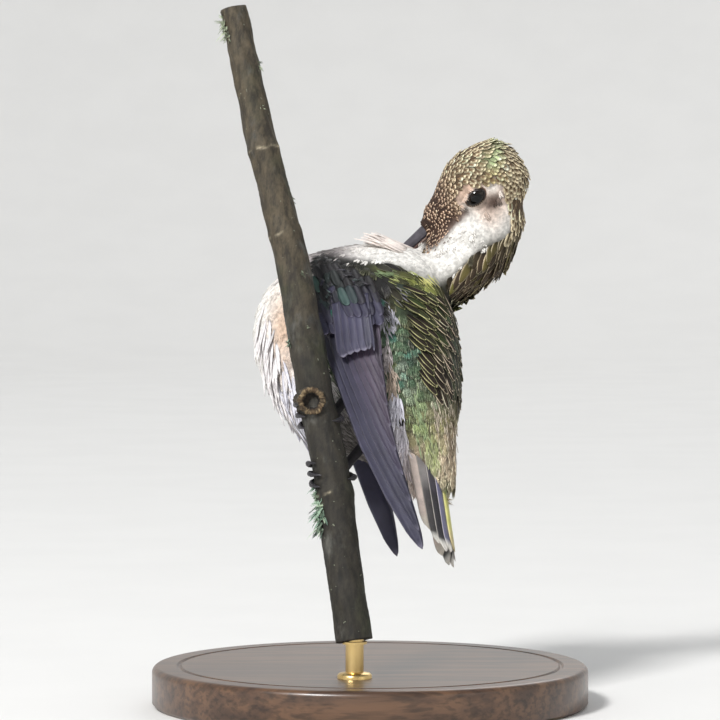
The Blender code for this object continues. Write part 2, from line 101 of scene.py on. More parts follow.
def bell(value, middle, half):
    """1 at the middle, falling off to both sides of it."""
    return np.exp(-(((value - middle) / half) ** 2))


def spot(first, second, place, halves, flat=1.0):
    """1 at a place in two directions, falling off round it. The greater flat is, the flatter its top."""
    off = ((first - place[0]) / halves[0]) ** 2 + ((second - place[1]) / halves[1]) ** 2
    return np.exp(-(off**flat))


def on_line(value, line):
    """The height there of a broken line through (place, height) points."""
    return np.interp(value, *zip(*line))


def layered(base, *layers):
    """A base colour with others laid over it in turn: each is a colour, and how much of it covers."""
    for colour, part in layers:
        base = blend(base, colour, part)
    return base


def columns(count, *values):
    """These values side by side in that many rows, each given once or for each row."""
    return np.stack([np.broadcast_to(value, count) for value in values], 1)


def uneven(chance, spread, count):
    """A column of random factors near 1."""
    return np.exp(chance.normal(0.0, spread, count))[:, None]


def full_turn(count):
    """That many even angles round a circle."""
    return np.linspace(0.0, 2.0 * math.pi, count, endpoint=False)


def level_way(bearing):
    """Level directions at these bearings from +X."""
    return np.stack([np.cos(bearing), np.sin(bearing), np.zeros_like(bearing)], -1)


def laid_on(ways, normals):
    """Directions turned to lie in the surface."""
    return unit(ways - normals * np.sum(ways * normals, 1)[:, None])


def nearest(places, targets):
    """For each target, which place is nearest to it."""
    return np.linalg.norm(places[None] - targets[:, None], axis=2).argmin(1)


# ---- the bird's own directions


def trunk_axes():
    """Along the trunk to the shoulders, to its left and out of its back."""
    turns = ((-TRUNK_LEAN, "X"), (-TRUNK_TILT, "Y"), (-TRUNK_YAW, "Z"))
    stance = Matrix.Identity(3)
    for angle, axis in turns:
        stance = stance @ Matrix.Rotation(math.radians(angle), 3, axis)
    return [np.array(stance @ Vector(v)) for v in ((0, 0, 1), (0, -1, 0), (1, 0, 0))]


def head_axes():
    """Forward to the bill, to the head's left and up."""
    drop, away, roll = (math.radians(a) for a in (BILL_DROP, BILL_AWAY, HEAD_ROLL))
    forward = np.array((-math.cos(drop) * math.cos(away), math.sin(away), -math.sin(drop) * math.cos(away)))
    level = np.array((-math.sin(drop), 0, math.cos(drop)))
    level = unit(level - forward * level.dot(forward))
    up = level * math.cos(roll) + np.cross(level, forward) * math.sin(roll)
    return forward, np.cross(up, forward), up


def wing_axes(side):
    """Along the folded wing to its tip, across it and outwards."""
    along = unit(WING_TIPS[side] - WRISTS[side])
    outward = WING_OUTWARD[side]
    outward = unit(outward - along * outward.dot(along))
    across = np.cross(outward, along)
    return along, across * math.copysign(1.0, across[0]), outward


def tail_axes():
    """Down the tail, to its left and out of its back."""
    down = unit(TAIL_TIP - TAIL_BASE)
    back = unit(TRUNK_BACK - down * TRUNK_BACK.dot(down))
    return down, np.cross(down, back), back


def down_the_back(angle):
    """Directions out of the trunk's back, turned down towards the tail by these angles."""
    return np.outer(np.cos(angle), TRUNK_BACK) - np.outer(np.sin(angle), TRUNK_UP)


TRUNK_UP, TRUNK_LEFT, TRUNK_BACK = trunk_axes()
HEAD_FORWARD, HEAD_LEFT, HEAD_UP = head_axes()

# ---- meshes from arrays


def mesh_object(name, points, faces, values=None, maps=None):
    """A smooth object from points in millimetres and a list of face arrays, each of faces with equal corners.

    values: name to one RGBA row for each point. maps: name to one UV row for each point.
    """
    mesh = bpy.data.meshes.new(name)
    loops = np.concatenate([part.reshape(-1) for part in faces]).astype(np.int32)
    totals = np.concatenate([np.full(len(part), part.shape[1]) for part in faces]).astype(np.int32)
    starts = np.concatenate([[0], np.cumsum(totals)[:-1]]).astype(np.int32)
    mesh.vertices.add(len(points))
    mesh.vertices.foreach_set("co", (np.asarray(points) * UNIT).astype(np.float32).reshape(-1))
    mesh.loops.add(len(loops))
    mesh.loops.foreach_set("vertex_index", loops)
    mesh.polygons.add(len(totals))
    mesh.polygons.foreach_set("loop_start", starts)
    mesh.polygons.foreach_set("loop_total", totals)
    mesh.update(calc_edges=True)
    for key, rows in (maps or {}).items():
        layer = mesh.uv_layers.new(name=key)
        layer.data.foreach_set("uv", np.asarray(rows)[loops].astype(np.float32).reshape(-1))
    for key, rows in (values or {}).items():
        layer = mesh.attributes.new(key, "FLOAT_COLOR", "POINT")
        layer.data.foreach_set("color", np.asarray(rows).astype(np.float32).reshape(-1))
    mesh.polygons.foreach_set("use_smooth", np.ones(len(totals), bool))
    mesh.validate()
    made = bpy.data.objects.new(name, mesh)
    bpy.context.scene.collection.objects.link(made)
    return made


def finish_piece(piece, material, replaced):
    """Gives a piece its one material, hangs it from the root body and hides the CAD nodes it replaces."""
    piece.data.materials.clear()
    piece.data.materials.append(material)
    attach(piece, "root")
    if replaced:
        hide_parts(*replaced)
    return piece


def tinted_piece(name, points, faces, colours, material, replaced=()):
    """A piece with a colour of its own at each point."""
    piece = mesh_object(name, points, faces, {"tint": tones(colours, 0.0)})
    return finish_piece(piece, material, replaced)


def joined(parts):
    """Several closed shapes as one: the points, and the faces gathered by their count of corners."""
    by_corners, count = {}, 0
    for points, faces in parts:
        for part in faces:
            by_corners.setdefault(part.shape[1], []).append(part + count)
        count += len(points)
    faces = [np.concatenate(same) for same in by_corners.values()]
    return np.concatenate([points for points, _ in parts]), faces


# ---- skin


def cad_copy(names, grow):
    """One mesh of several CAD nodes, each swollen a little so that they meet."""
    shape = bmesh.new()
    for name in names:
        part = bmesh.new()
        part.from_mesh(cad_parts[name].data)
        bmesh.ops.remove_doubles(part, verts=part.verts, dist=1e-6)
        part.normal_update()
        moves = [(vert, vert.normal * grow * UNIT) for vert in part.verts]
        for vert, move in moves:
            vert.co += move
        mesh = bpy.data.meshes.new("part")
        part.to_mesh(mesh)
        part.free()
        shape.from_mesh(mesh)
        bpy.data.meshes.remove(mesh)
    mesh = bpy.data.meshes.new("joined")
    shape.to_mesh(mesh)
    shape.free()
    return mesh


FLESH = ("trunk", "neck", "head", "wing_left_arm", "wing_right_arm")
VOXEL = 0.36
FLESH_GROWTH = 0.22  # so that the nodes of flesh meet
COAT_DEPTH, BODY_DEPTH_MORE = 0.28, 0.22  # on the head, and how much more on the body
RELAX_ROUNDS = 7
NAPE_HOLLOW = np.array((17.8, 11.0, 60.6))
HOLLOW_FILL, HOLLOW_HALF, HOLLOW_REACH, HOLLOW_ROUNDS = 0.55, 3.2, 3.6, 40
SOCKET_DEPTH, LID_RISE = 0.3, 0.33


def coat_depth(points):
    """How far the skin lies under the solids' surface, by region."""
    from_head = np.linalg.norm(points - HEAD_CENTRE, axis=1)
    from_nape = np.linalg.norm(points - NAPE_HOLLOW, axis=1)
    filled = HOLLOW_FILL * bell(from_nape, 0.0, HOLLOW_HALF)
    return FLESH_GROWTH + COAT_DEPTH + BODY_DEPTH_MORE * step(6.0, 9.5, from_head) - filled


def ball_height(ahead, up):
    """How far the eyeball's surface stands out over its middle plane."""
    return EYE_HALF[2] * np.sqrt(np.maximum(1.0 - (ahead / EYE_HALF[0]) ** 2 - (up / EYE_HALF[1]) ** 2, 0.0))


def shape_snout(points):
    """The front of the head drawn in to the bill's own width."""
    rel = points - HEAD_CENTRE - HEAD_UP * BILL_LEVEL
    forward = rel @ HEAD_FORWARD
    off = rel - forward[:, None] * HEAD_FORWARD
    near = 1.0 - step(3.5, 5.0, np.linalg.norm(off, axis=1))
    return points - off * (0.22 * step(6.2, 8.6, forward) * near)[:, None]


def skin_height(ahead, up):
    """How far the skin over an eye stands out over the eyeball's middle plane."""
    return SKIN_OVER_EYE - (ahead**2 + up**2) / (2.0 * HEAD_RADIUS)


def from_eye(ahead, up):
    """How far off the eye's middle in the plane of the opening, where its edge is 1."""
    return np.hypot(ahead / EYE_OPENING[0], up / EYE_OPENING[1])


def shape_sockets(points):
    """The skin round each eye: under the ball in the opening, and over it beyond the lids."""
    for side, sign in SIDES.items():
        rel = points - eye_centre(side)
        ahead, up, out = rel @ HEAD_FORWARD, rel @ HEAD_UP, rel @ HEAD_LEFT * sign
        away = from_eye(ahead, up)
        level = np.maximum(ball_height(ahead, up), skin_height(ahead, up))
        level = level - SOCKET_DEPTH + LID_RISE * step(0.95, 1.35, away)
        near = (1.0 - step(1.5, 2.4, away)) * (out > -0.5)
        points = points + np.outer((level - out) * near * sign, HEAD_LEFT)
    return points


def read(rows, key, width, kind=float):
    """The values of a mesh's vertices, edges or faces, in that many columns."""
    values = np.zeros(len(rows) * width, kind)
    rows.foreach_get(key, values)
    return values.reshape(-1, width)


def rough_skin():
    """The flesh and the eyes grown together: points, outward directions, faces and edges."""
    rough = bpy.data.objects.new("rough", cad_copy((*FLESH, "eye_left", "eye_right"), FLESH_GROWTH))
    bpy.context.scene.collection.objects.link(rough)
    remesh = rough.modifiers.new("Remesh", "REMESH")
    remesh.mode = "VOXEL"
    remesh.voxel_size = VOXEL * UNIT
    relax = rough.modifiers.new("Relax", "SMOOTH")
    relax.factor = 0.5
    relax.iterations = RELAX_ROUNDS
    graph = bpy.context.evaluated_depsgraph_get()
    mesh = bpy.data.meshes.new_from_object(rough.evaluated_get(graph))
    bpy.data.objects.remove(rough)
    mesh.calc_loop_triangles()
    points = read(mesh.vertices, "co", 3) / UNIT
    normals = unit(read(mesh.vertex_normals, "vector", 3))
    faces = read(mesh.loop_triangles, "vertices", 3, int)
    edges = read(mesh.edges, "vertices", 2, int)
    bpy.data.meshes.remove(mesh)
    return points, normals, faces, edges


def face_normals(points, faces):
    """Outward normals of triangles, as long as twice their areas."""
    corners = points[faces]
    return np.cross(corners[:, 1] - corners[:, 0], corners[:, 2] - corners[:, 0])


def skin_arrays():
    """The skin's points, outward directions, faces and edges, in millimetres."""
    points, normals, faces, edges = rough_skin()
    points = points - normals * coat_depth(points)[:, None]
    hollow = bell(np.linalg.norm(points - NAPE_HOLLOW, axis=1), 0.0, HOLLOW_REACH)
    for _ in range(HOLLOW_ROUNDS):
        points = blend(points, neighbour_mean(points, edges), hollow)
    points = shape_sockets(shape_snout(points))
    flat = face_normals(points, faces)
    normals = np.zeros_like(points)
    for k, axis in itertools.product(range(3), range(3)):
        normals[:, axis] += np.bincount(faces[:, k], flat[:, axis], len(points))
    return points, unit(normals), faces, edges


# ---- the lie of the coat


SOLVER_ROUNDS, SOLVER_CLOSE = 900, 1e-12


def spread_along(count, edges, fixed, held):
    """Values that change evenly over the skin between the points where they are held."""
    free = ~fixed
    first, second = edges[:, 0], edges[:, 1]
    degree = np.bincount(edges.reshape(-1), minlength=count).astype(float)

    def apply(x):
        """How far each free point is out of balance with its neighbours."""
        around = np.bincount(first, x[second], count) + np.bincount(second, x[first], count)
        return np.where(free, degree * x - around, 0.0)

    value = np.where(fixed, held, 0.5)
    residual = -apply(value)
    heading = residual / degree
    strength = float(residual @ heading)
    for _ in range(SOLVER_ROUNDS):
        changed = apply(heading)
        part = strength / max(float(heading @ changed), 1e-30)
        value = value + part * heading
        residual = residual - part * changed
        eased = residual / degree
        newer = float(residual @ eased)
        if newer < SOLVER_CLOSE:
            break
        heading = eased + heading * (newer / strength)
        strength = newer
    return value


def gathered(edges, to_first, to_second, count):
    """Sums, at each point, of the rows that its edges bring to their first and second ends."""
    total = np.zeros((count, to_first.shape[1]))
    for axis in range(to_first.shape[1]):
        total[:, axis] = np.bincount(edges[:, 0], to_first[:, axis], count)
        total[:, axis] += np.bincount(edges[:, 1], to_second[:, axis], count)
    return total


def neighbour_mean(rows, edges):
    """The mean of each point's neighbours."""
    total = gathered(edges, rows[edges[:, 1]], rows[edges[:, 0]], len(rows))
    degree = np.bincount(edges.reshape(-1), minlength=len(rows))
    return total / np.maximum(degree, 1)[:, None]


BILL_HOLD, RUMP_HOLD = 1.9, 2.2  # how far round them the lie's course is held


def lie_of_coat(points, normals, edges):
    """For each skin point how far it is from bill to tail, 0 to 1, and which way its feathers point."""
    bill = HEAD_CENTRE + HEAD_FORWARD * 7.6 + HEAD_UP * BILL_LEVEL
    rump = TRUNK_CENTRE - TRUNK_UP * 20.0 + TRUNK_BACK * 9.0
    from_bill = np.linalg.norm(points - bill, axis=1)
    at_rump = np.linalg.norm(points - rump, axis=1) < RUMP_HOLD
    held = (from_bill < BILL_HOLD) | at_rump
    along = spread_along(len(points), edges, held, np.where(at_rump, 1.0, 0.0))
    first, second = edges[:, 0], edges[:, 1]
    gap = points[second] - points[first]
    slope = (along[second] - along[first])[:, None] * gap / (np.sum(gap**2, 1)[:, None] + 1e-9)
    near = (1.0 - step(BILL_HOLD, 3.6, from_bill))[:, None]
    way = unit(gathered(edges, slope, slope, len(points))) * (1.0 - near) - HEAD_FORWARD * near
    for side in SIDES:
        wing_along, across, _ = wing_axes(side)
        near = arm_weight(points, side)[:, None]
        way = way * (1.0 - near) + (wing_along * 0.9 + across * 0.42) * near
    for _ in range(6):
        way = laid_on(unit(way + neighbour_mean(way, edges)), normals)
    return along, way


def arm_weight(points, side):
    """1 on the arm of a wing and 0 away from it."""
    along, across, outward = wing_axes(side)
    rel = points - WRISTS[side]
    down, over, out = rel @ along, rel @ across, rel @ outward
    inside = step(-1.6, -0.6, down) * (1.0 - step(8.0, 9.5, down))
    inside = inside * step(-3.4, -2.6, over) * (1.0 - step(5.6, 7.2, over))
    return inside * step(-1.6, -0.5, out)


# ---- where feathers grow


NEAR_CELLS = tuple(itertools.product((-1, 0, 1), repeat=3))


def crowded(grid, key, place, gap):
    """Whether a kept place lies closer than the gap."""
    for a, b, c in NEAR_CELLS:
        for x, y, z in grid.get((key[0] + a, key[1] + b, key[2] + c), ()):
            if (x - place[0]) ** 2 + (y - place[1]) ** 2 + (z - place[2]) ** 2 < gap * gap:
                return True
    return False


def scatter(points, faces, spacing_of, tries, seed):
    """Roots over a surface, no two closer than the spacing there. Gives face numbers and weights."""
    chance = np.random.default_rng(seed)
    corners = points[faces]
    spacing = spacing_of(corners.mean(1))
    weight = np.linalg.norm(face_normals(points, faces), axis=1) / spacing**2
    picked = chance.choice(len(faces), tries, p=weight / weight.sum())
    first, second = chance.random((2, tries))
    flip = first + second > 1.0
    first, second = np.where(flip, 1 - first, first), np.where(flip, 1 - second, second)
    weights = np.stack([1 - first - second, first, second], 1)
    places = np.einsum("nk,nkx->nx", weights, corners[picked])
    cell = spacing.max()
    grid, kept = {}, []
    for i, (place, gap) in enumerate(zip(places.tolist(), spacing[picked].tolist())):
        key = tuple(int(part // cell) for part in place)
        if not crowded(grid, key, place, gap):
            grid.setdefault(key, []).append(place)
            kept.append(i)
    return picked[kept], weights[kept]


# ---- feather shapes: u across (-1 to 1), v from root to tip (0 to 1), w up in feather thicknesses


def shingle_faces(rows, base=0):
    """Faces over that many rows of three points (edge, shaft, edge) and a tip, closed underneath."""
    quads = []
    for a in range(base, base + 3 * (rows - 1), 3):
        b = a + 3
        quads += [(a, a + 1, b + 1, b), (a + 1, a + 2, b + 2, b + 1), (a + 2, a, b, b + 2)]
    last, tip = base + 3 * rows - 3, base + 3 * rows
    tris = [(last, last + 1, tip), (last + 1, last + 2, tip), (last + 2, last, tip)]
    return quads, [(base, base + 2, base + 1), *tris]


def vane_shape():
    """A closed shingle with a raised shaft and a blunt tip."""
    rows = ((0.0, 0.35), (0.18, 0.75), (0.42, 1.0), (0.68, 1.0), (0.87, 0.84), (0.965, 0.5))
    points = []
    for v, half in rows:
        points += [(-half, v, 0.0, -1.0), (0.0, v, 1.0, 0.0), (half, v, 0.0, 1.0)]
    points.append((0.0, 1.0, 0.0, 0.0))
    quads, tris = shingle_faces(len(rows))
    return np.array(points), np.array(quads), np.array(tris)


def leaf_shape(rows, broadest, blunt):
    """A thin closed vane: broadest at that part of its length, with a tip the blunter the greater that is."""
    v = np.linspace(0.0, 1.0, rows)
    before = 0.45 + 0.55 * np.sin(0.5 * math.pi * np.clip(v / broadest, 0.0, 1.0))
    beyond = np.clip((v - broadest) / (1.0 - broadest), 0.0, 1.0)
    half = before * np.maximum(1.0 - beyond**blunt, 0.02) ** (1.0 / blunt)
    section = ((-1.0, 0.0), (-0.5, 0.55), (0.0, 1.0), (0.5, 0.55), (1.0, 0.0), (0.0, -0.35))
    rings = np.array([[(u * wide, at, w, u) for u, w in section] for wide, at in zip(half, v)])
    _, (quads, ends) = stacked(rings[..., :3])
    return rings.reshape(-1, 4), quads, ends


BARB_ROWS = ((0.0, 0.25, 1.0), (0.45, 0.72, 1.0), (0.8, 0.95, 0.62))  # along a barb, fanned out, breadth


def barbs_shape(count, seed, raggedness, width, spread=1.0):
    """A fan of separate tapering barbs, like a loose downy feather."""
    chance = np.random.default_rng(seed)
    points, quads, tris = [], [], []
    half = width / count
    for k in range(count):
        place = (2.0 * (k + 0.5) / count - 1.0) * spread + chance.normal(0.0, 0.05)
        reach = 1.0 - 0.22 * place**2 - raggedness * chance.random()
        bend = chance.normal(0.0, 0.10)
        barb_quads, barb_tris = shingle_faces(len(BARB_ROWS), len(points))
        quads += barb_quads
        tris += barb_tris
        for part, fan, thin in BARB_ROWS:
            v = part * reach
            u = place * fan + bend * (v**2)
            for over, up in ((-half * thin, 0.0), (0.0, 0.9), (half * thin, 0.0)):
                points.append((u + over, v, up, u + over))
        points.append((place * 1.05 + bend, reach, 0.1, place))
    return np.array(points), np.array(quads), np.array(tris)


PATCH = 0.003


class Coat:
    """Feathers gathered one by one until they become one piece."""

    def __init__(self):
        self.points, self.faces = [], {}
        self.tint, self.rim, self.vane, self.bake = [], [], [], []
        self.count = 0

    def add(self, points, faces, tint, rim, vane, bake):
        """faces: arrays of point numbers, one for each count of corners. The rest: one row for each point."""
        for part in faces:
            self.faces.setdefault(part.shape[1], []).append(part + self.count)
        rows = (self.points, self.tint, self.rim, self.vane, self.bake)
        for kept, given in zip(rows, (points, tint, rim, vane, bake)):
            kept.append(given)
        self.count += len(points)

    def plant(self, shape, root, along, normal, size, rise, tint, rim, place):
        """Feathers of one shape. size: length, width, thickness rows. rise: lift, droop and cup rows.

        A shape's points are u across, v along, w up, and how near the edge they count as, -1 to 1.
        tint and rim: RGBA rows, where alpha is gloss. place: each root's spot on the unwrapped skin.
        """
        points, *kinds = shape
        many, each = len(root), len(points)
        if not many:
            return
        length, width, thick = (np.asarray(size[:, i])[:, None] for i in range(3))
        lift, droop, cup = (np.asarray(rise[:, i])[:, None] for i in range(3))
        across = unit(np.cross(normal, along))
        u, v, w, edge = (points[:, i][None, :] for i in range(4))
        ahead = v * length
        side = u * width * 0.5
        up = ahead * lift - droop * ahead**2 - cup * side**2 / np.maximum(width, 0.1) + w * thick
        made = root[:, None, :] + along[:, None, :] * ahead[..., None]
        made = made + across[:, None, :] * side[..., None] + normal[:, None, :] * up[..., None]
        shift = (np.arange(many) * each)[:, None, None]
        faces = [(part[None] + shift).reshape(-1, part.shape[1]) for part in kinds]
        local = np.broadcast_to(np.stack([(edge + 1) / 2, v], -1), (many, each, 2))
        patch = (np.clip(local, 0, 1) - 0.5) * PATCH
        bake = (place[:, None, :] + patch).reshape(-1, 2)
        colours = (np.repeat(rows, each, 0) for rows in (tint, rim))
        self.add(made.reshape(-1, 3), faces, *colours, local.reshape(-1, 2), bake)

    def make(self, name, material, slot, replaced=()):
        """The gathered feathers as a finished piece."""
        values = {"tint": np.concatenate(self.tint), "rim": np.concatenate(self.rim)}
        maps = {"OFBake": np.concatenate(self.bake), "Vane": np.concatenate(self.vane)}
        faces = [np.concatenate(part) for part in self.faces.values()]
        piece = mesh_object(name, np.concatenate(self.points), faces, values, maps)
        return finish_piece(piece, material, replaced)


def tones(colours, gloss):
    """RGBA rows, with gloss as alpha."""
    colours = np.clip(np.asarray(colours, float), 0.0, 1.0)
    return np.concatenate([colours, np.broadcast_to(np.asarray(gloss, float), len(colours))[:, None]], 1)


# ---- markings and sizes of the coat


def head_place(points):
    """Places forward, to the side (either one) and up from the head's centre."""
    rel = points - HEAD_CENTRE
    return rel @ HEAD_FORWARD, np.abs(rel @ HEAD_LEFT), rel @ HEAD_UP


def trunk_place(points):
    """Places along the trunk, to its left and out of its back."""
    rel = points - TRUNK_CENTRE
    return rel @ TRUNK_UP, rel @ TRUNK_LEFT, rel @ TRUNK_BACK


THROAT_WAY = np.array((-0.68, 0.0, 0.73))  # from the neck's axis out to the throat
NECK_MIDDLE = np.array((11.2, 11.0, 55.4))
CROWN_LINE = (  # forward and up: where the dark crown ends over the cheek
    (-5.0, -0.4), (-3.6, 0.7), (-2.5, 1.8), (-0.75, 2.8), (0.6, 2.7), (1.6, 2.25), (2.4, 1.6), (3.0, 0.9),
    (3.5, 0.3), (6.0, -0.15), (8.0, -0.4),
)
GAPE_LINE = ((0.5, -0.5), (1.9, -0.4), (4.6, -0.35), (7.3, -0.6))
NAPE_LINE = ((-7.0, 3.0), (-6.0, 1.5), (-5.4, -0.3), (-4.7, -1.3), (-3.5, -2.2), (-2.0, -3.0), (0.0, -3.9))


def regions(points):
    """Soft masks, 0 to 1, of the bird's fields of plumage, and places in its own directions."""
    forward, side, up = head_place(points)
    along, left, back = trunk_place(points)
    height = 0.9 * along + 0.44 * np.abs(left)
    from_head = np.linalg.norm(points - HEAD_CENTRE, axis=1)
    snout = step(1.5, 3.0, forward) * (1.0 - step(8.8, 9.6, forward))
    snout = snout * (1.0 - step(4.2, 5.2, np.hypot(side, up)))
    head = np.maximum(1.0 - step(6.6, 8.4, from_head), snout)
    neck = (1.0 - head) * step(8.5, 11.5, points[:, 2] - TRUNK_CENTRE[2] + 0.5 * (back - 8.0))
    neck = neck * step(4.0, 7.0, back)
    nape_line = on_line(up, NAPE_LINE)
    nape = 1.0 - step(nape_line - 0.4, nape_line + 0.4, forward)
    crown_line = on_line(forward, CROWN_LINE)
    dark_head = np.maximum(nape, step(crown_line - 0.25, crown_line + 0.25, up))
    dark_neck = 1.0 - step(-1.5, -0.3, (points - NECK_MIDDLE) @ THROAT_WAY)
    band = step(-0.5, 0.5, height - (11.7 - 0.26 * back)) * (1.0 - step(8.5, 10.5, back))
    belly = 1.0 - step(-5.0, -2.5, back + 0.25 * np.minimum(along, 0.0))
    vent = (1.0 - step(-11.0, -8.0, along)) * (1.0 - step(3.0, 6.5, back + 0.3 * (along + 12.0)))
    breast = step(4.5, 2.5, np.abs(left)) * step(7.0, 5.0, back)
    light_trunk = np.maximum.reduce((band, belly, vent, breast))
    light = head * (1.0 - dark_head) + (1.0 - head) * (neck * (1.0 - dark_neck) + (1.0 - neck) * light_trunk)
    arm = np.maximum(arm_weight(points, "left"), arm_weight(points, "right"))
    rib_line = 9.6 - np.where(height > 0.0, 0.62, 0.25) * height
    ribs = step(0.0, 1.2, back - rib_line) * (1.0 - head) * (1.0 - neck)
    return {
        "head": head, "neck": neck, "light": light * (1.0 - arm), "arm": arm,
        "nape": np.maximum(nape * head, neck * dark_neck), "forward": forward, "side": side, "up": up,
        "along": along, "left": left, "back": back, "height": height, "vent": vent, "belly": belly,
        "band": band, "ribs": ribs,
    }


def choose(chance, many, options, shares):
    """Rows picked from a few colours, with each one's share given for all rows or for each."""
    shares = columns(many, *shares)
    shares = np.cumsum(shares / shares.sum(1, keepdims=True), 1)
    picked = np.sum(chance.random(len(shares))[:, None] > shares, 1)
    return np.array(options)[np.minimum(picked, len(options) - 1)]


SPOTS = (  # places of colour on the trunk: back and height, half sizes, colour
    ((-1.0, 7.9), (0.9, 0.5), SHEEN), ((6.9, 8.0), (0.9, 0.5), SHEEN), ((0.9, 5.2), (0.9, 1.2), SHEEN),
    ((3.2, 8.4), (0.6, 0.5), SHEEN), ((6.0, 1.9), (0.7, 0.8), SHEEN), ((7.6, -0.5), (0.9, 0.8), SHEEN),
    ((6.8, -2.4), (0.8, 0.5), SHEEN), ((7.0, -4.1), (0.9, 0.6), SHEEN), ((8.5, 1.0), (0.35, 1.1), SOOT),
    ((8.2, -1.0), (0.3, 1.4), SOOT), ((9.3, -0.6), (0.6, 0.9), SHEEN), ((8.4, -6.4), (1.0, 1.0), SPRING),
    ((8.3, -9.2), (1.0, 1.6), SPRING), ((9.4, -13.0), (1.0, 1.8), SPRING),
    ((10.7, -17.2), (0.8, 1.5), SPRING), ((8.0, -13.0), (0.5, 2.2), (0.16, 0.12, 0.08)),
    ((11.9, -12.0), (0.5, 4.0), (0.24, 0.165, 0.11)),
)


def mantle_colours(where, chance):
    """The back: bronze and green with glints of teal, khaki on the rump, dark towards the dorsal edge,
    painted shade in the hollow under the breast, and a painted highlight across the upper back.
    """
    back, height = where["back"], where["height"]
    many = len(back)
    drift = np.sin(1.3 * back + 0.9 * height) * np.sin(1.7 * height - 0.6 * back + 1.0)
    wander = 0.5 * drift + chance.normal(0.0, 0.35, many)
    silver = step(0.9, 1.0, chance.random(many) + 0.25)
    wavy = height + 2.0 * wander
    tint = layered(
        (0.070, 0.115, 0.060),
        ((0.05, 0.05, 0.02), step(2.0, 6.0, wavy)),
        (BRONZE, 0.5 * step(0.2, 1.2, wander)),
        ((0.30, 0.34, 0.28), 0.5 * silver * step(3.0, 0.0, height)),
        ((0.30, 0.27, 0.13), 0.85 * step(-5.0, -9.0, wavy)),
        ((0.54, 0.43, 0.31), 0.85 * step(-9.0, -12.5, wavy)),
    )
    for place, halves, colour in SPOTS:
        near = spot(back, height, place, halves, 1.5)
        tint = blend(tint, colour, np.clip(near * (0.8 + 0.3 * wander), 0.0, 0.8))
    edged = blend(tint * 1.7 + 0.03, (0.62, 0.60, 0.44), 0.4 + 0.25 * step(-4.0, -12.0, height))
    ribs = np.clip(where["ribs"] * (1.0 + 0.5 * wander), 0.0, 1.0)
    low_back = step(-7.0, -13.0, height)
    deep = blend((0.018, 0.013, 0.010), (0.03, 0.045, 0.018), np.clip(wander, 0.0, 1.0))
    pale = blend((0.48, 0.50, 0.18), (0.66, 0.54, 0.42), step(9.5, 12.0, back))
    tint = blend(tint, deep, 0.94 * ribs * (1.0 - 0.85 * low_back))
    # Painted shade: the hollow under the white band, where the breast overhangs, is darkened to soot in tint
    # and rim.
    hollow = step(4.5, 7.0, height) * (1.0 - step(5.0, 7.0, back))
    # Painted highlight: a pale lime band where light falls across the upper back.
    over_lit = height - 8.4 + 0.42 * (back - 7.4)
    lit = spot(back, over_lit, (7.4, 0.0), (3.4, 0.45))
    lit = np.clip(lit * (1.0 + 0.9 * wander), 0.0, 1.0) * (1.0 - where["neck"])
    tint = layered(tint, (SOOT, 0.9 * hollow * (tint[:, 1] < 0.2)), ((0.22, 0.24, 0.06), 0.85 * lit))
    rim = layered(
        edged,
        (pale, 0.8 * ribs * (1.0 - 0.5 * low_back)),
        ((0.11, 0.10, 0.11), 0.8 * hollow),
        ((0.78, 0.80, 0.34), lit),
    )
    return tint, rim


def dark_colours(points, where, chance):
    """Upper parts: middle colour, rim colour and gloss of each feather."""
    many = len(points)
    forward, up, head, arm = where["forward"], where["up"], where["head"], where["arm"]
    tint, rim = mantle_colours(where, chance)
    front = step(0.0, 4.5, forward)
    gold = spot(forward, up, (-3.4, 2.2), (1.2, 0.7))
    # green: a painted highlight, the crown's green iridescent glint at one spot, laid into both the tint and
    # the rim.
    green = spot(forward, up, (-4.8, 3.2), (1.2, 0.55))
    crown = layered((0.150, 0.094, 0.050), ((0.055, 0.024, 0.012), front), ((0.54, 0.70, 0.36), green * 0.85))
    crown_rim = layered((0.95, 0.82, 0.56), ((0.80, 0.58, 0.42), front), ((0.74, 0.58, 0.22), 0.7 * gold))
    crown_rim = blend(crown_rim, (0.80, 0.92, 0.52), green)
    nape = where["nape"] * (1.0 - head * 0.75)
    hackles = choose(chance, many, (OLIVE, BRONZE, (0.05, 0.06, 0.025), BROWN), (0.16, 0.02, 0.08, 0.74))
    # Mostly near-black on the arm: partly the feathers' own dark colour, partly painted shade under the
    # breast's overhang.
    coverts = choose(chance, many, (TEAL, (0.02, 0.04, 0.04), SOOT, DUSK), (0.1, 0.26, 0.44, 0.2))
    coverts_rim = blend((0.12, 0.11, 0.13), SHEEN, 0.4 * chance.random(many) ** 3)
    tint = layered(tint, (crown, head), (hackles * 0.65, nape), (coverts, arm))
    rim = layered(rim, (crown_rim, head), ((0.58, 0.47, 0.32), nape * 0.85), (coverts_rim, arm))
    gloss = 0.6 * (1.0 - 0.8 * where["ribs"])
    gloss = (gloss * (1.0 - head) + 0.1 * head) * (1.0 - 0.8 * nape)
    shade = uneven(chance, 0.18, many)
    return tones(tint * shade, gloss), tones(rim * shade, gloss * 0.3)


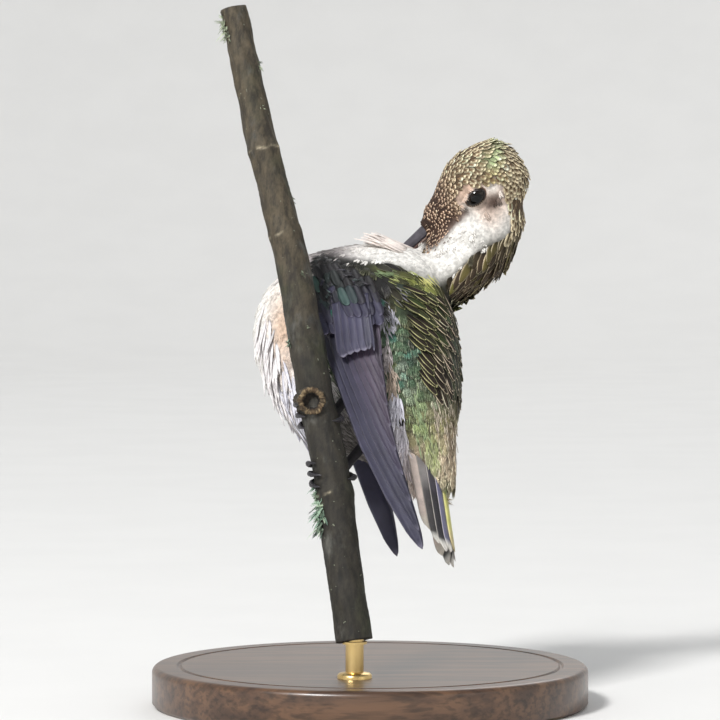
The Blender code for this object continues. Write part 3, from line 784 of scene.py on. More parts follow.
def light_colours(points, where, chance):
    """Under parts: middle colour, rim colour and gloss of each feather."""
    many = len(points)
    along, back, height = where["along"], where["back"], where["height"]
    forward, side, up, head = where["forward"], where["side"], where["up"], where["head"]
    body = 1.0 - head
    inner = step(-11.5, -8.0, back) * (1.0 - step(9.0, 11.0, height))
    peach = where["belly"] * body * inner * bell(along, 1.0, 6.0)
    low = step(1.0, -9.0, along) * body
    # Painted shadow: the vent between the twig and the wing is made nearly black, though its feathers are
    # pale.
    painted_vent_shadow = where["vent"] * step(-6.0, -3.0, back) * step(5.0, 3.0, back)
    # Painted shade: a grey-mauve cast on the top of the breast where it turns away from the light.
    painted_shoulder_shade = body * step(9.5, 11.0, height) * step(4.0, -2.0, back)
    cheek = head * step(2.2, 0.2, forward) * step(-5.0, -1.5, up)
    brow = head * step(0.9, 1.6, up) * step(-3.2, -1.0, forward)
    behind_eye = head * spot(forward, up, (-2.5, 0.4), (0.9, 0.8))
    under_eye = head * spot(forward, up, (-1.35, -0.95), (1.5, 0.95), 2.0)
    gape = on_line(forward, GAPE_LINE)
    lore = head * step(1.3, 2.2, forward) * step(gape - 0.2, gape + 0.15, up)
    lore = lore * (1.0 - step(1.0, 1.6, up) * step(3.2, 2.6, forward))
    tint = layered(
        WHITE,
        (PEACH, 0.85 * peach),
        (LILAC, 0.45 * low * (1.0 - 0.7 * peach)),
        ((0.05, 0.042, 0.036), 0.9 * painted_vent_shadow),
        ((0.40, 0.34, 0.35), 0.8 * painted_shoulder_shade),
        ((0.78, 0.56, 0.44), 0.75 * cheek),
        ((0.62, 0.42, 0.31), 0.85 * brow),
        ((0.94, 0.90, 0.84), behind_eye),
        ((0.050, 0.022, 0.013), 0.97 * under_eye * step(1.5, 2.5, side)),
        ((0.085, 0.034, 0.016), 0.95 * lore),
    )
    fleck = (chance.random(many) < 0.05) & (head > 0.5) & (up < -1.0)
    tint[fleck] *= 0.75
    shade = uneven(chance, 0.05, many)
    rim = blend(tint, (0.95, 0.90, 0.84), 0.4 * (1.0 - lore) * (1.0 - under_eye))
    return tones(tint * shade, 0.0), tones(rim * shade, 0.0)


def feather_gap(points):
    """How far apart feathers grow, in millimetres."""
    where = regions(points)
    from_bill = np.linalg.norm(points - HEAD_CENTRE - HEAD_FORWARD * 8.0, axis=1)
    head_gap = 0.29 + 0.22 * step(0.5, 11.0, from_bill)
    body_gap = 0.84 - 0.25 * where["light"] - 0.12 * where["neck"] - 0.10 * where["light"] * where["band"]
    gap = head_gap * where["head"] + body_gap * (1.0 - where["head"])
    return gap * (1.0 - 0.15 * where["arm"])


# ---- the skin and its coat


def eye_centre(side):
    """The middle of an eyeball."""
    forward, out, up = EYE_PLACE
    return HEAD_CENTRE + HEAD_FORWARD * forward + HEAD_LEFT * (SIDES[side] * out) + HEAD_UP * up


def unwrap(points, along):
    """Each skin point's spot on the skin laid flat: round the body, and from bill to tail."""
    bins = 30
    rank = np.argsort(np.argsort(along)) / len(along)
    row = (rank * bins).astype(int)
    count = np.bincount(row, minlength=bins)
    centres = (np.arange(bins) + 0.5) / bins
    middle = [np.bincount(row, points[:, k], bins) / count for k in range(3)]

    def line(at):
        """The body's middle line at these parts of the way from bill to tail."""
        return np.stack([np.interp(at, centres, column) for column in middle], 1)

    ahead = unit(line(rank + 0.04) - line(rank - 0.04))
    left = unit(TRUNK_LEFT - ahead * (ahead @ TRUNK_LEFT)[:, None])
    out = points - line(rank)
    angle = np.arctan2(np.sum(out * left, 1), np.sum(out * np.cross(ahead, left), 1))
    return np.stack([0.5 + 0.49 * angle / math.pi, 0.01 + 0.98 * rank], 1)


class Skin:
    """The skin's mesh in arrays, with the lie of the coat over it."""

    def __init__(self):
        self.points, self.normals, self.faces, self.edges = skin_arrays()
        along, self.way = lie_of_coat(self.points, self.normals, self.edges)
        self.spots = unwrap(self.points, along)

    def roots(self, spacing_of, tries, seed):
        """Places for feathers: point, outward direction, lie and spot on the unwrap."""
        picked, weights = scatter(self.points, self.faces, spacing_of, tries, seed)
        corners = self.faces[picked]

        def at(rows):
            """Values of the skin's points, at the roots."""
            return np.einsum("nk,nkx->nx", weights, rows[corners])

        normal = unit(at(self.normals))
        lie = at(self.way)
        lie = laid_on(lie, normal)
        return at(self.points), normal, lie, self.spots[corners[:, 0]]

    def make(self, material):
        """The visible skin, in the coat's own colours but darker."""
        chance = np.random.default_rng(SEED)
        where = regions(self.points)
        dark, _ = dark_colours(self.points, where, chance)
        light, _ = light_colours(self.points, where, chance)
        colours = blend(dark[:, :3] * 0.5, light[:, :3] * 0.75, where["light"])
        for _ in range(3):
            colours = (colours + neighbour_mean(colours, self.edges)) / 2
        values = {"tint": tones(colours, 0.0)}
        piece = mesh_object("skin", self.points, [self.faces], values)
        return finish_piece(piece, material, FLESH)


def rib_lie(where):
    """The way the long feathers beside the dorsal edge point: out to it above, and down it below."""
    return down_the_back(np.radians(np.clip(45.0 - 2.6 * where["height"], 15.0, 90.0)))


def part_round_eyes(root, lie, length):
    """Feathers near an eye flow round it and stop short of it. Gives lie, length and which ones stay."""
    stay = np.ones(len(root), bool)
    for side in SIDES:
        out = HEAD_LEFT * SIDES[side]
        rel = root - eye_centre(side)
        ahead, up = rel @ HEAD_FORWARD, rel @ HEAD_UP
        away = from_eye(ahead, up)
        near = (rel @ out > -0.5) & (away < 3.0)
        stay &= ~(near & (away < 1.1))
        radial = unit(HEAD_FORWARD * ahead[:, None] + HEAD_UP * up[:, None])
        inward = np.minimum(np.sum(lie * radial, 1), 0.0) * near * (1.0 - step(1.5, 2.6, away))
        lie = unit(lie - radial * (1.1 * inward)[:, None])
        short = 0.38 + 0.62 * step(1.1, 2.4, away)
        length = np.where(near, length * short, length)
    return lie, length, stay


def turned(lie, normal, angle):
    """Directions in the surface, turned in it by these angles."""
    side = np.cross(normal, lie)
    return lie * np.cos(angle)[:, None] + side * np.sin(angle)[:, None]


COAT_TRIES = 90000
ROOT_DEPTH = 0.08  # of a feather's root under the skin


def coat_build(root, normal, lie, where, light, chance):
    """Each feather's lie, size and rise, and whether it stays. light: which of them are light."""
    many = len(root)
    gap = feather_gap(root)
    head, nape = where["head"], where["nape"]
    dark = ~light
    ribs = where["ribs"] * dark
    low = step(1.0, -9.0, where["along"]) * (1.0 - head)
    trunk_light = light * (1.0 - head)
    rump = dark * step(-7.0, -11.0, where["height"]) * (1.0 - head)
    hackles = nape * dark * (1.0 - 0.8 * head)
    reach = 2.5 + 0.5 * trunk_light + 1.5 * low * light + 1.3 * ribs + 1.9 * hackles + 1.5 * rump
    reach = reach + 0.7 * head * light
    length = gap * reach * np.exp(chance.normal(0.0, 0.08, many))
    lie, length, stay = part_round_eyes(root, lie, length)
    lie = blend(lie, rib_lie(where), ribs * (1.0 - nape) * step(0.0, 3.0, np.abs(where["left"])))
    lie = laid_on(lie, normal)
    lie = turned(lie, normal, chance.normal(0.0, 0.06 + 0.08 * light * low))
    width = gap * (1.75 - 0.25 * head - 0.35 * ribs - 0.5 * rump)
    thick = (0.04 + 0.02 * (1.0 - head)) * (1.0 - 0.6 * light)
    lift = 0.18 - 0.10 * light + 0.19 * low * light + 0.08 * hackles + 0.04 * ribs
    lift = lift + chance.normal(0.0, 0.02, many)
    droop = 0.045 + 0.05 * head + 0.02 * where["neck"] - 0.03 * nape
    return lie, columns(many, length, width, thick), columns(many, lift, droop, 0.3), stay


def clothe(skin, feathers):
    """The coat of small feathers, in one piece for each field of plumage."""
    root, normal, lie, spots = skin.roots(feather_gap, COAT_TRIES, SEED)
    many = len(root)
    where = regions(root)
    chance = np.random.default_rng(SEED + 1)
    light = where["light"] > 0.35 + 0.3 * chance.random(many)
    dark = ~light
    lie, size, rise, stay = coat_build(root, normal, lie, where, light, chance)
    tint_dark, rim_dark = dark_colours(root, where, chance)
    tint_light, rim_light = light_colours(root, where, chance)
    tint = np.where(light[:, None], tint_light, tint_dark)
    rim = np.where(light[:, None], rim_light, rim_dark)
    fringed = [barbs_shape(7, i, raggedness=0.08, width=1.5) for i in range(3)]
    loose = [barbs_shape(7, i + 10, raggedness=0.3, width=0.9) for i in range(4)]
    fine = [barbs_shape(5, i + 20, raggedness=0.15, width=1.5) for i in range(3)]
    pointed = [leaf_shape(7, 0.4, 1.5)]
    on_arm = where["arm"] >= 0.5
    on_head = (where["head"] > 0.5) & ~on_arm
    on_trunk = ~on_head & ~on_arm
    upper = where["height"] + 0.6 * where["back"] > 4.0
    ribbed = (where["ribs"] * dark > 0.5) | (where["nape"] > 0.5)
    groups = (
        ("coat_crown", [vane_shape()], on_head & dark, "head_scales", "crown"),
        ("coat_throat", fine, on_head & light, "down", "crown"),
        ("coat_back", fringed, on_trunk & dark & ~ribbed, "plumage", "plumage"),
        ("coat_mantle", pointed, on_trunk & dark & ribbed, "quills", "plumage"),
        ("coat_breast", fine, on_trunk & light & upper, "down", "plumage"),
        ("coat_belly", loose, on_trunk & light & ~upper, "down", "plumage"),
        ("coat_shoulders", fringed, on_arm, "plumage", "coverts"),
    )
    for name, shapes, chosen, finish, slot in groups:
        coat = Coat()
        for i, shape in enumerate(shapes):
            mine = chosen & stay & (np.arange(many) % len(shapes) == i)
            coat.plant(
                shape, root[mine] - normal[mine] * ROOT_DEPTH, lie[mine], normal[mine], size[mine],
                rise[mine], tint[mine], rim[mine], spots[mine],
            )
        coat.make(name, feathers[finish], slot)


RIB_ROWS = (  # back at their roots, first and last height, length, width
    (11.5, 5.4, -6.4, 3.0, 0.95),
    (10.3, 6.0, -5.6, 3.2, 1.0),
    (9.0, 6.5, -4.0, 3.3, 0.95),
    (7.9, 6.9, 0.5, 3.0, 0.9),
)
RIB_STEP = 0.7


def make_ribs(skin, material):
    """Long dark feathers with pale edges beside the back's outline, each row over the next further out."""
    chance = np.random.default_rng(SEED + 9)
    where = regions(skin.points)
    shape = leaf_shape(12, 0.5, 2.0)
    coat = Coat()
    for sign in SIDES.values():
        mine = np.flatnonzero((where["left"] * sign > 0.5) & (where["light"] < 0.5) & (where["neck"] < 0.6))
        places = np.stack([where["back"], where["height"]], 1)[mine]
        for row, (back, first, last, length, width) in enumerate(RIB_ROWS):
            height = np.arange(first, last, -RIB_STEP)
            many = len(height)
            height = height + chance.normal(0.0, 0.08, many)
            target = np.stack([back + chance.normal(0.0, 0.2, many), height], 1)
            picked = mine[nearest(places, target)]
            drop = np.clip(40.0 - 2.8 * height, 18.0, 74.0) + chance.normal(0.0, 3.0, many)
            normal = skin.normals[picked]
            lie = laid_on(down_the_back(np.radians(drop)), normal)
            turn = 0.25 * sign * np.cross(lie, normal)
            normal = unit(normal + turn * np.sign(turn @ TRUNK_UP)[:, None])
            lie = laid_on(lie, normal)
            root = skin.points[picked] + skin.normals[picked] * (0.1 + 0.1 * row)
            size = columns(many, length * chance.uniform(0.85, 1.1, many), width, 0.045)
            rise = columns(many, chance.uniform(0.13, 0.2, many), 0.042, 0.25)
            green = step(0.3, 0.9, chance.random(many)) * step(-2.0, 2.0, height) * (row > 0)
            tint = blend((0.024, 0.017, 0.012), (0.035, 0.05, 0.016), green)
            tint = blend(tint, (0.14, 0.12, 0.06), step(-5.0, -10.0, height))
            rim = blend((0.92, 0.76, 0.58), (0.70, 0.72, 0.30), step(11.0, 8.5, back) * 0.8)
            shade = uneven(chance, 0.12, many)
            coat.plant(
                shape, root, lie, normal, size, rise, tones(tint * shade, 0.1), tones(rim * shade, 0.0),
                skin.spots[picked],
            )
    coat.make("coat_ribs", material, "plumage")


TUFTS = (  # back and height, half sizes, how many, length, width, degrees below the back's way, lift, colour
    ((5.7, 3.6), (0.7, 0.9), 110, 1.4, 0.2, 80, 0.4, (0.60, 0.59, 0.65)),
    ((5.2, -0.8), (0.4, 1.4), 80, 1.4, 0.22, 85, 0.4, (0.60, 0.54, 0.54)),
    ((5.5, -3.8), (0.5, 1.4), 110, 1.5, 0.2, 80, 0.4, (0.66, 0.54, 0.44)),
    ((5.8, -6.7), (0.5, 1.0), 90, 2.4, 0.35, 98, 0.4, (0.80, 0.78, 0.86)),
    ((6.1, -8.8), (0.25, 0.3), 10, 1.0, 0.35, 95, 0.4, (0.012, 0.010, 0.014)),
    ((6.0, -10.3), (0.4, 0.9), 90, 2.6, 0.35, 95, 0.4, (0.84, 0.80, 0.86)),
    ((6.0, -12.8), (0.5, 1.0), 90, 2.8, 0.4, 96, 0.35, (0.90, 0.82, 0.84)),
    ((6.8, -15.4), (0.5, 1.2), 90, 3.0, 0.4, 92, 0.25, (0.90, 0.78, 0.71)),
    ((7.0, 11.9), (0.7, 0.45), 90, 4.6, 0.65, 187, 0.22, (0.92, 0.82, 0.76)),
    ((-7.6, -3.5), (1.6, 3.0), 60, 4.8, 0.8, 86, 0.14, (0.74, 0.73, 0.80)),
    ((-10.0, 0.5), (1.2, 3.5), 50, 4.2, 0.8, 100, 0.16, (0.84, 0.80, 0.80)),
    ((5.2, 9.2), (1.0, 0.3), 30, 1.4, 0.12, 35, 0.2, (0.26, 0.34, 0.18)),
    ((7.2, 8.4), (1.0, 0.35), 50, 1.4, 0.14, 35, 0.2, (0.48, 0.52, 0.20)),
    ((9.0, 7.5), (0.9, 0.4), 60, 1.4, 0.15, 45, 0.2, (0.58, 0.56, 0.22)),
    ((7.2, 6.3), (1.3, 0.6), 40, 1.3, 0.12, 45, 0.25, (0.30, 0.29, 0.32)),
    ((8.2, -8.6), (0.7, 2.2), 50, 1.7, 0.16, 75, 0.2, (0.40, 0.50, 0.28)),
    ((9.4, -12.6), (0.6, 2.0), 44, 1.8, 0.16, 82, 0.2, (0.48, 0.52, 0.26)),
    ((10.9, -9.0), (0.8, 3.0), 60, 1.7, 0.16, 75, 0.2, (0.56, 0.48, 0.38)),
)


def make_tufts(skin, material):
    """Loose longer feathers, on both flanks: fluff by the wings, flank plumes and a wisp at the bill."""
    chance = np.random.default_rng(SEED + 7)
    where = regions(skin.points)
    facing = np.abs(skin.normals @ TRUNK_LEFT)
    coat = Coat()
    shape = leaf_shape(6, 0.35, 1.4)
    for (back, height), (wide, tall), each_side, length, width, drop, lift, colour in TUFTS:
        many = 2 * each_side
        off = ((where["back"] - back) / wide) ** 2 + ((where["height"] - height) / tall) ** 2
        weight = np.exp(-off) * (0.02 + step(0.0, 0.4, facing)) * (off < 4.0) * (where["arm"] < 0.5)
        picked = chance.choice(len(weight), many, p=weight / weight.sum())
        angle = np.radians(drop + chance.normal(0.0, 9.0, many))
        normal = skin.normals[picked]
        lie = laid_on(down_the_back(angle), normal)
        lengths = length * chance.uniform(0.7, 1.1, many)
        size = columns(many, lengths, width * chance.uniform(0.7, 1.1, many), 0.05)
        rise = columns(many, lift * chance.uniform(0.7, 1.3, many), 0.12 * lift, 0.4)
        tint = tones(np.array(colour) * uneven(chance, 0.08, many), 0.0)
        coat.plant(shape, skin.points[picked], lie, normal, size, rise, tint, tint, skin.spots[picked])
    coat.make("coat_tufts", material, "plumage")


COVERT_ROWS = (  # along the wing, first and last place across, how many, length, width
    (-0.8, -0.4, 1.8, 4, 2.0, 1.3), (0.5, -1.2, 3.8, 7, 2.3, 1.3), (1.8, -1.9, 5.0, 9, 2.5, 1.35),
    (3.1, -2.1, 5.0, 9, 2.8, 1.45), (4.4, -2.2, 4.8, 9, 3.2, 1.5), (5.6, -2.2, 4.4, 8, 3.4, 1.6),
)


def make_coverts(side, skin, material):
    """Rows of rounded feathers over the roots of the flight feathers, shingled from wrist to wing."""
    chance = np.random.default_rng(SEED + 8)
    along, across, outward = wing_axes(side)
    rel = skin.points - WRISTS[side]
    facing = np.flatnonzero(skin.normals @ outward > 0.2)
    places = np.stack([rel @ along, rel @ across], 1)[facing]
    coat = Coat()
    shape = leaf_shape(12, 0.45, 2.6)
    for row, (at, first, last, count, length, width) in enumerate(COVERT_ROWS):
        over = np.linspace(first, last, count) + chance.normal(0.0, 0.06, count)
        level = at + 0.15 * over
        picked = facing[nearest(places, np.stack([level, over], 1))]
        smooth = np.polyval(np.polyfit(over, rel[picked] @ outward, 2), over)
        out = np.maximum(smooth, 0.45) + 0.12 - 0.05 * np.arange(count) / count
        root = WRISTS[side] + np.outer(level, along) + np.outer(over, across) + np.outer(out, outward)
        normal = np.tile(outward, (count, 1))
        lie = laid_on(np.tile(unit(along + across * 0.06 - outward * 0.05), (count, 1)), normal)
        size = columns(count, length * chance.uniform(0.94, 1.06, count), width, 0.05)
        rise = columns(count, 0.05 + chance.normal(0.0, 0.01, count), 0.012, 0.5)
        shine = step(0.4, 0.8, chance.random(count)) * (over < 2.6) * (row in (1, 2, 3))
        # The rows by the wrist are near-black: partly the coverts' own dark colour, partly painted shade from
        # the breast above them.
        dusky = step(2.0, 5.0, float(row))
        tint = blend(blend(SOOT, DUSK, dusky), SHEEN, 0.25 * shine)
        rim = blend(tint * 2.0, (0.22, 0.20, 0.28), 0.5 * dusky)
        shade = uneven(chance, 0.12, count)
        coat.plant(
            shape, root, lie, normal, size, rise, tones(tint * shade, 0.3), tones(rim * shade, 0.1),
            skin.spots[picked],
        )
    coat.make(f"coverts_{side}", material, "coverts")


# ---- stacks of rings: blades, tubes and turned shapes


def ring_quads(count, sides):
    """Faces between that many rings of points, each with as many sides."""
    k = np.arange(sides)
    base = (np.arange(count - 1) * sides)[:, None]
    quads = np.stack([base + k, base + (k + 1) % sides, base + sides + (k + 1) % sides, base + sides + k], -1)
    return quads.reshape(-1, 4)


def stacked(rings):
    """Points and faces of a closed shape through rings of equal count, facing out."""
    count, sides = rings.shape[:2]
    k = np.arange(sides)
    quads = ring_quads(count, sides)
    ends = np.stack([k[::-1], k + (count - 1) * sides])
    points = rings.reshape(-1, 3)
    a, b, c, d = (points[quads[:, i]] for i in range(4))
    volume = np.sum(a * np.cross(b, c)) + np.sum(a * np.cross(c, d))
    if volume < 0:
        quads, ends = quads[:, ::-1], ends[:, ::-1]
    return points, [quads, ends]


def tube_rings(route, radii, sides):
    """Round rings along a route. radii: one for each ring, or one row of sides for each."""
    route = np.asarray(route, float)
    radii = np.broadcast_to(np.asarray(radii, float).reshape(len(route), -1), (len(route), sides))
    ahead = unit(np.gradient(route, axis=0))
    across = np.cross(ahead[0], (0.31, 0.72, 0.62))
    angles = full_turn(sides)
    rings = []
    for point, way, radius in zip(route, ahead, radii):
        across = unit(across - way * across.dot(way))
        over = np.cross(way, across)
        turn = np.outer(np.cos(angles), across) + np.outer(np.sin(angles), over)
        rings.append(point + turn * radius[:, None])
    return np.array(rings)


def smooth_route(points, steps):
    """Points of a Catmull-Rom curve through the given ones."""
    points = np.asarray(points, float)
    ends = np.concatenate([[2 * points[0] - points[1]], points, [2 * points[-1] - points[-2]]])
    t = (np.arange(steps) / steps)[:, None]
    made = []
    for a, b, c, d in zip(ends, ends[1:], ends[2:], ends[3:]):
        bend, twist = 2 * a - 5 * b + 4 * c - d, 3 * b - a - 3 * c + d
        made.append((2 * b + (c - a) * t + bend * t**2 + twist * t**3) / 2)
    return np.concatenate([*made, points[-1:]])


# ---- wing and tail feathers

# Across a feather from its front edge (-1) over the shaft (0) to its rear edge (1), and half-thicknesses
BLADE_PROFILE = np.array(
    (
        (-1.0, 0.0), (-0.7, 0.85), (-0.1, 1.05), (0.0, 1.35), (0.07, 1.05), (0.6, 0.9), (1.0, 0.0),
        (0.5, -0.7), (0.0, -1.4), (-0.6, -0.6),
    )
)
PRIMARY_TIPS = (13.2, 15.3, 17.4, 19.8, 22.6, 25.8, 29.2, 32.8, 36.8)
BLADE_PARTS = np.linspace(0.0, 1.0, 30)  # of its length, where a feather has its rings
BLADE_HALF = 0.045  # thickness of the profile's unit
FRONT_EDGE = ((0.0, -1.4), (0.12, -2.3), (0.28, -2.9), (0.6, -2.9), (0.8, -2.1), (0.93, -1.2), (1.0, -0.4))
REAR_EDGE = (
    (0.0, 5.8), (0.2, 4.9), (0.36, 3.3), (0.47, 2.35), (0.55, 1.8), (0.67, 1.2), (0.8, 0.9), (0.9, 0.7),
    (1.0, 0.35),
)
WING_ARCH = 0.035


def add_blade(coat, place, at, front, rear, level, colours, cell, blunt=0.12):
    """One flight feather. place(at, over, out) gives its points; front and rear edges lie at each station.

    colours: tint and rim rows, one for each station. cell: its number on the map, and how many there are.
    """
    near_tip = np.clip((BLADE_PARTS - 1.0 + blunt) / blunt, 0.0, 1.0)
    rounding = np.sqrt(np.maximum(1.0 - near_tip**2, 0.01))
    middle = front + 0.42 * (rear - front)
    front = middle - (middle - front) * rounding
    rear = middle + (rear - middle) * rounding
    shaft = front + 0.3 * (rear - front)
    u, w = BLADE_PROFILE[:, 0], BLADE_PROFILE[:, 1]
    span = np.where(u < 0, (shaft - front)[:, None], (rear - shaft)[:, None])
    over = shaft[:, None] + u * span
    fade = (1.0 - 0.75 * BLADE_PARTS)[:, None]
    out = level[:, None] + w * BLADE_HALF * np.where(np.abs(u) < 0.01, fade, 1.0)
    points, faces = stacked(place(np.broadcast_to(at[:, None], over.shape), over, out))
    vane = np.stack(np.broadcast_arrays((u + 1.0) / 2.0, BLADE_PARTS[:, None]), -1).reshape(-1, 2)
    left, count = cell
    bake = np.stack([(left + 0.1 + 0.8 * vane[:, 0]) / count, 0.02 + 0.96 * vane[:, 1]], 1)
    coat.add(points, faces, *(np.repeat(rows, len(u), 0) for rows in colours), vane, bake)


def wing_span(side):
    """From the wrist to the wing's tip."""
    return np.linalg.norm(WING_TIPS[side] - WRISTS[side])


def wing_edges(part):
    """The folded wing's front and rear edges at these parts of its span."""
    return on_line(part, FRONT_EDGE), on_line(part, REAR_EDGE)


def wing_place(side):
    """A function from along, across and out of the wing to points, arched as the folded wing is."""
    along, across, outward = wing_axes(side)
    span = wing_span(side)

    def place(at, over, out):
        """Points that far along the wing, across it and out of it."""
        front, rear = wing_edges(at / span)
        arch = WING_ARCH * (((rear - front) / 2) ** 2 - (over - (rear + front) / 2) ** 2)
        flat = WRISTS[side] + at[..., None] * along + over[..., None] * across
        return flat + (out + arch)[..., None] * outward

    return place


def flight_tones(chance, base, edge):
    """Tint and rim of a flight feather, a little darker towards its tip."""
    shade = np.exp(chance.normal(0.0, 0.10))
    tint = np.array(base) * shade * (1.15 - 0.3 * BLADE_PARTS)[:, None]
    rim = np.tile(np.array(edge) * shade, (len(BLADE_PARTS), 1))
    return tones(tint, 0.25), tones(rim, 0.05)


PRIMARY_START, PRIMARY_WIDTH, PRIMARY_LEVEL, PRIMARY_STEP = 6.0, 2.6, -0.72, 0.062


def make_primaries(side, material):
    """The long outer flight feathers, each a step over the next longer one."""
    chance = np.random.default_rng(SEED + 2)
    place = wing_place(side)
    span = wing_span(side)
    tips = np.array((*PRIMARY_TIPS, span))
    coat = Coat()
    for k, tip in enumerate(tips):
        rank = len(tips) - 1 - k
        at = PRIMARY_START + (tip - PRIMARY_START) * (1.0 - (1.0 - BLADE_PARTS) ** 1.25)
        front, rear = wing_edges(at / span)
        beyond = np.interp(at, (0.0, *tips), np.arange(len(tips), -1, -1.0))
        near = front + (rear - front) * rank / (beyond + 0.35)
        far = np.minimum(rear, near + PRIMARY_WIDTH)
        level = PRIMARY_LEVEL + PRIMARY_STEP * rank - 0.05 * BLADE_PARTS
        base = blend((0.029, 0.027, 0.054), (0.052, 0.036, 0.060), step(1.0, 6.0, float(rank)))
        colours = flight_tones(chance, base, (0.13, 0.12, 0.17))
        add_blade(coat, place, at, near, far, level, colours, (k, len(tips)))
    coat.make(f"primaries_{side}", material, "flight_feathers", (f"wing_{side}_primaries",))


SECONDARY_COUNT = 6
SECONDARY_START, SECONDARY_END = 5.0, 12.1


def make_secondaries(side, material):
    """The short inner flight feathers, which lie over the primaries' roots."""
    chance = np.random.default_rng(SEED + 3)
    place = wing_place(side)
    drift = -0.3 - 1.6 * BLADE_PARTS
    coat = Coat()
    for k in range(SECONDARY_COUNT):
        rank = SECONDARY_COUNT - 1 - k
        near = drift + 0.88 * rank
        far = np.minimum(drift + 4.8, near + 2.0)
        end = SECONDARY_END + 0.15 * rank + chance.normal(0.0, 0.12)
        at = SECONDARY_START + (end - SECONDARY_START) * BLADE_PARTS
        level = 0.45 + 0.045 * rank + 0.1 * BLADE_PARTS
        colours = flight_tones(chance, DUSK, (0.19, 0.175, 0.24))
        add_blade(coat, place, at, near, far, level, colours, (k, SECONDARY_COUNT), blunt=0.22)
    coat.make(f"secondaries_{side}", material, "flight_feathers", (f"wing_{side}_secondaries",))


TAIL_PAIR_LENGTHS = (0.96, 0.99, 1.0, 0.965, 0.89)
TAIL_RADIUS, TAIL_SPREAD, TAIL_ROOT_SPREAD = 4.4, 4.2, 5.4
TAIL_COLOURS = (  # of each pair from the middle out: the vane, its tip, and where along it the tip starts
    ((0.60, 0.58, 0.17), (0.60, 0.50, 0.22), 0.9),
    ((0.16, 0.155, 0.26), (0.90, 0.88, 0.84), 0.955),
    ((0.055, 0.048, 0.064), (0.90, 0.88, 0.84), 0.95),
    ((0.24, 0.22, 0.215), (0.80, 0.79, 0.75), 0.95),
    ((0.76, 0.63, 0.56), (0.84, 0.75, 0.64), 0.93),
)
DARK_BANDED = (2, 3)  # the pairs with a dark band before the tip


def tail_tones(pair, chance):
    """Tint and rim of a tail feather of that pair, where only the green middle pair has some gloss."""
    shade = np.exp(chance.normal(0.0, 0.06))
    base, tip, start = TAIL_COLOURS[pair]
    dark = step(0.62, 0.7, BLADE_PARTS) * (pair in DARK_BANDED)
    at_tip = step(start - 0.02, start + 0.01, BLADE_PARTS)
    tint = blend(blend(base, SOOT, 0.8 * dark), tip, at_tip) * shade
    rim = blend(tint, (0.80, 0.74, 0.66), 0.6 if pair else 0.2)
    return tones(tint, 0.0 if pair else 0.2), tones(rim, 0.0)


def make_tail(material):
    """Ten folded feathers round an arch, the middle pair on top."""
    chance = np.random.default_rng(SEED + 4)
    down, left, back = tail_axes()
    length = np.linalg.norm(TAIL_TIP - TAIL_BASE)

    def place(at, over, out):
        """Points that far down the tail, round its arch and out of it."""
        bend = over / TAIL_RADIUS
        radius = TAIL_RADIUS + out
        aside, rise = radius * np.sin(bend), radius * np.cos(bend) - TAIL_RADIUS
        return TAIL_BASE + at[..., None] * down + aside[..., None] * left + rise[..., None] * back

    coat = Coat()
    pairs = len(TAIL_PAIR_LENGTHS)
    for pair, part in enumerate(TAIL_PAIR_LENGTHS):
        for sign in (-1.0, 1.0):
            at = length * part * BLADE_PARTS
            spread = TAIL_ROOT_SPREAD + (TAIL_SPREAD - TAIL_ROOT_SPREAD) * BLADE_PARTS
            shaft = sign * (pair + 0.5) / (pairs - 0.5) * spread
            inner, outer = shaft - sign * 1.7, shaft + sign * 0.75
            level = (0.3 - 0.12 * pair - 0.02 * sign) - 0.6 * step(0.35, 0.1, BLADE_PARTS)
            cell = (2 * pair + (sign > 0), 2 * pairs)
            add_blade(coat, place, at, outer, inner, level, tail_tones(pair, chance), cell)
    coat.make("tail_vanes", material, "tail_feathers", ("tail",))


# ---- bill and eyes

BILL_WIDTH, BILL_TIP_WIDTH = 1.9, 0.7
BILL_DEPTHS = {"upper": 1.15, "lower": 0.95}
BILL_TIP_DEPTH = 0.42
BILL_GAPE = 0.09  # between the halves


def make_bill(half, material):
    """A tapering half-round of horn with a ridge along it and a groove beside the ridge."""
    sign = 1.0 if half == "upper" else -1.0
    part = np.linspace(0.0, 1.0, 90)
    angle = np.linspace(0.0, math.pi, 21)
    ending = np.sqrt(np.clip((1.0 - part) / 0.03, 0.02, 1.0))
    width = (BILL_WIDTH + (BILL_TIP_WIDTH - BILL_WIDTH) * part) / 2 * ending
    depth = (BILL_DEPTHS[half] + (BILL_TIP_DEPTH - BILL_DEPTHS[half]) * part) * ending
    groove = 1.0 - 0.07 * bell(np.sin(angle), 0.75, 0.12) * (1.0 - part)[:, None]
    level = BILL_LEVEL - BILL_SAG * part**2 + sign * BILL_GAPE / 2
    centre = HEAD_CENTRE + np.outer(BILL_ROOT + (BILL_END - BILL_ROOT) * part, HEAD_FORWARD)
    centre = centre + np.outer(level, HEAD_UP)
    side = width[:, None] * np.cos(angle) * groove
    tall = depth[:, None] * np.sin(angle) ** 0.9 * groove * sign
    points, faces = stacked(centre[:, None, :] + side[..., None] * HEAD_LEFT + tall[..., None] * HEAD_UP)
    colour = blend((0.060, 0.054, 0.066), (0.15, 0.075, 0.055), step(0.5, 0.0, part) * (sign < 0))
    colour = blend(colour, (0.30, 0.24, 0.20), 0.5 * bell(part, 0.13, 0.03) * (sign < 0))
    colours = np.repeat(colour, len(angle), 0)
    tinted_piece(f"bill_{half}_horn", points, faces, colours, material, (f"bill_{half}",))


LID_BEADS = 30.0  # round each eye
# Across the lids: how far beyond the opening, and how high over ball or skin
LID_SECTION = (
    (-0.05, -0.04), (0.0, 0.03), (0.05, 0.05), (0.12, 0.04), (0.2, 0.0), (0.3, -0.05), (0.4, -0.12),
    (0.42, -0.6), (0.1, -0.35),
)


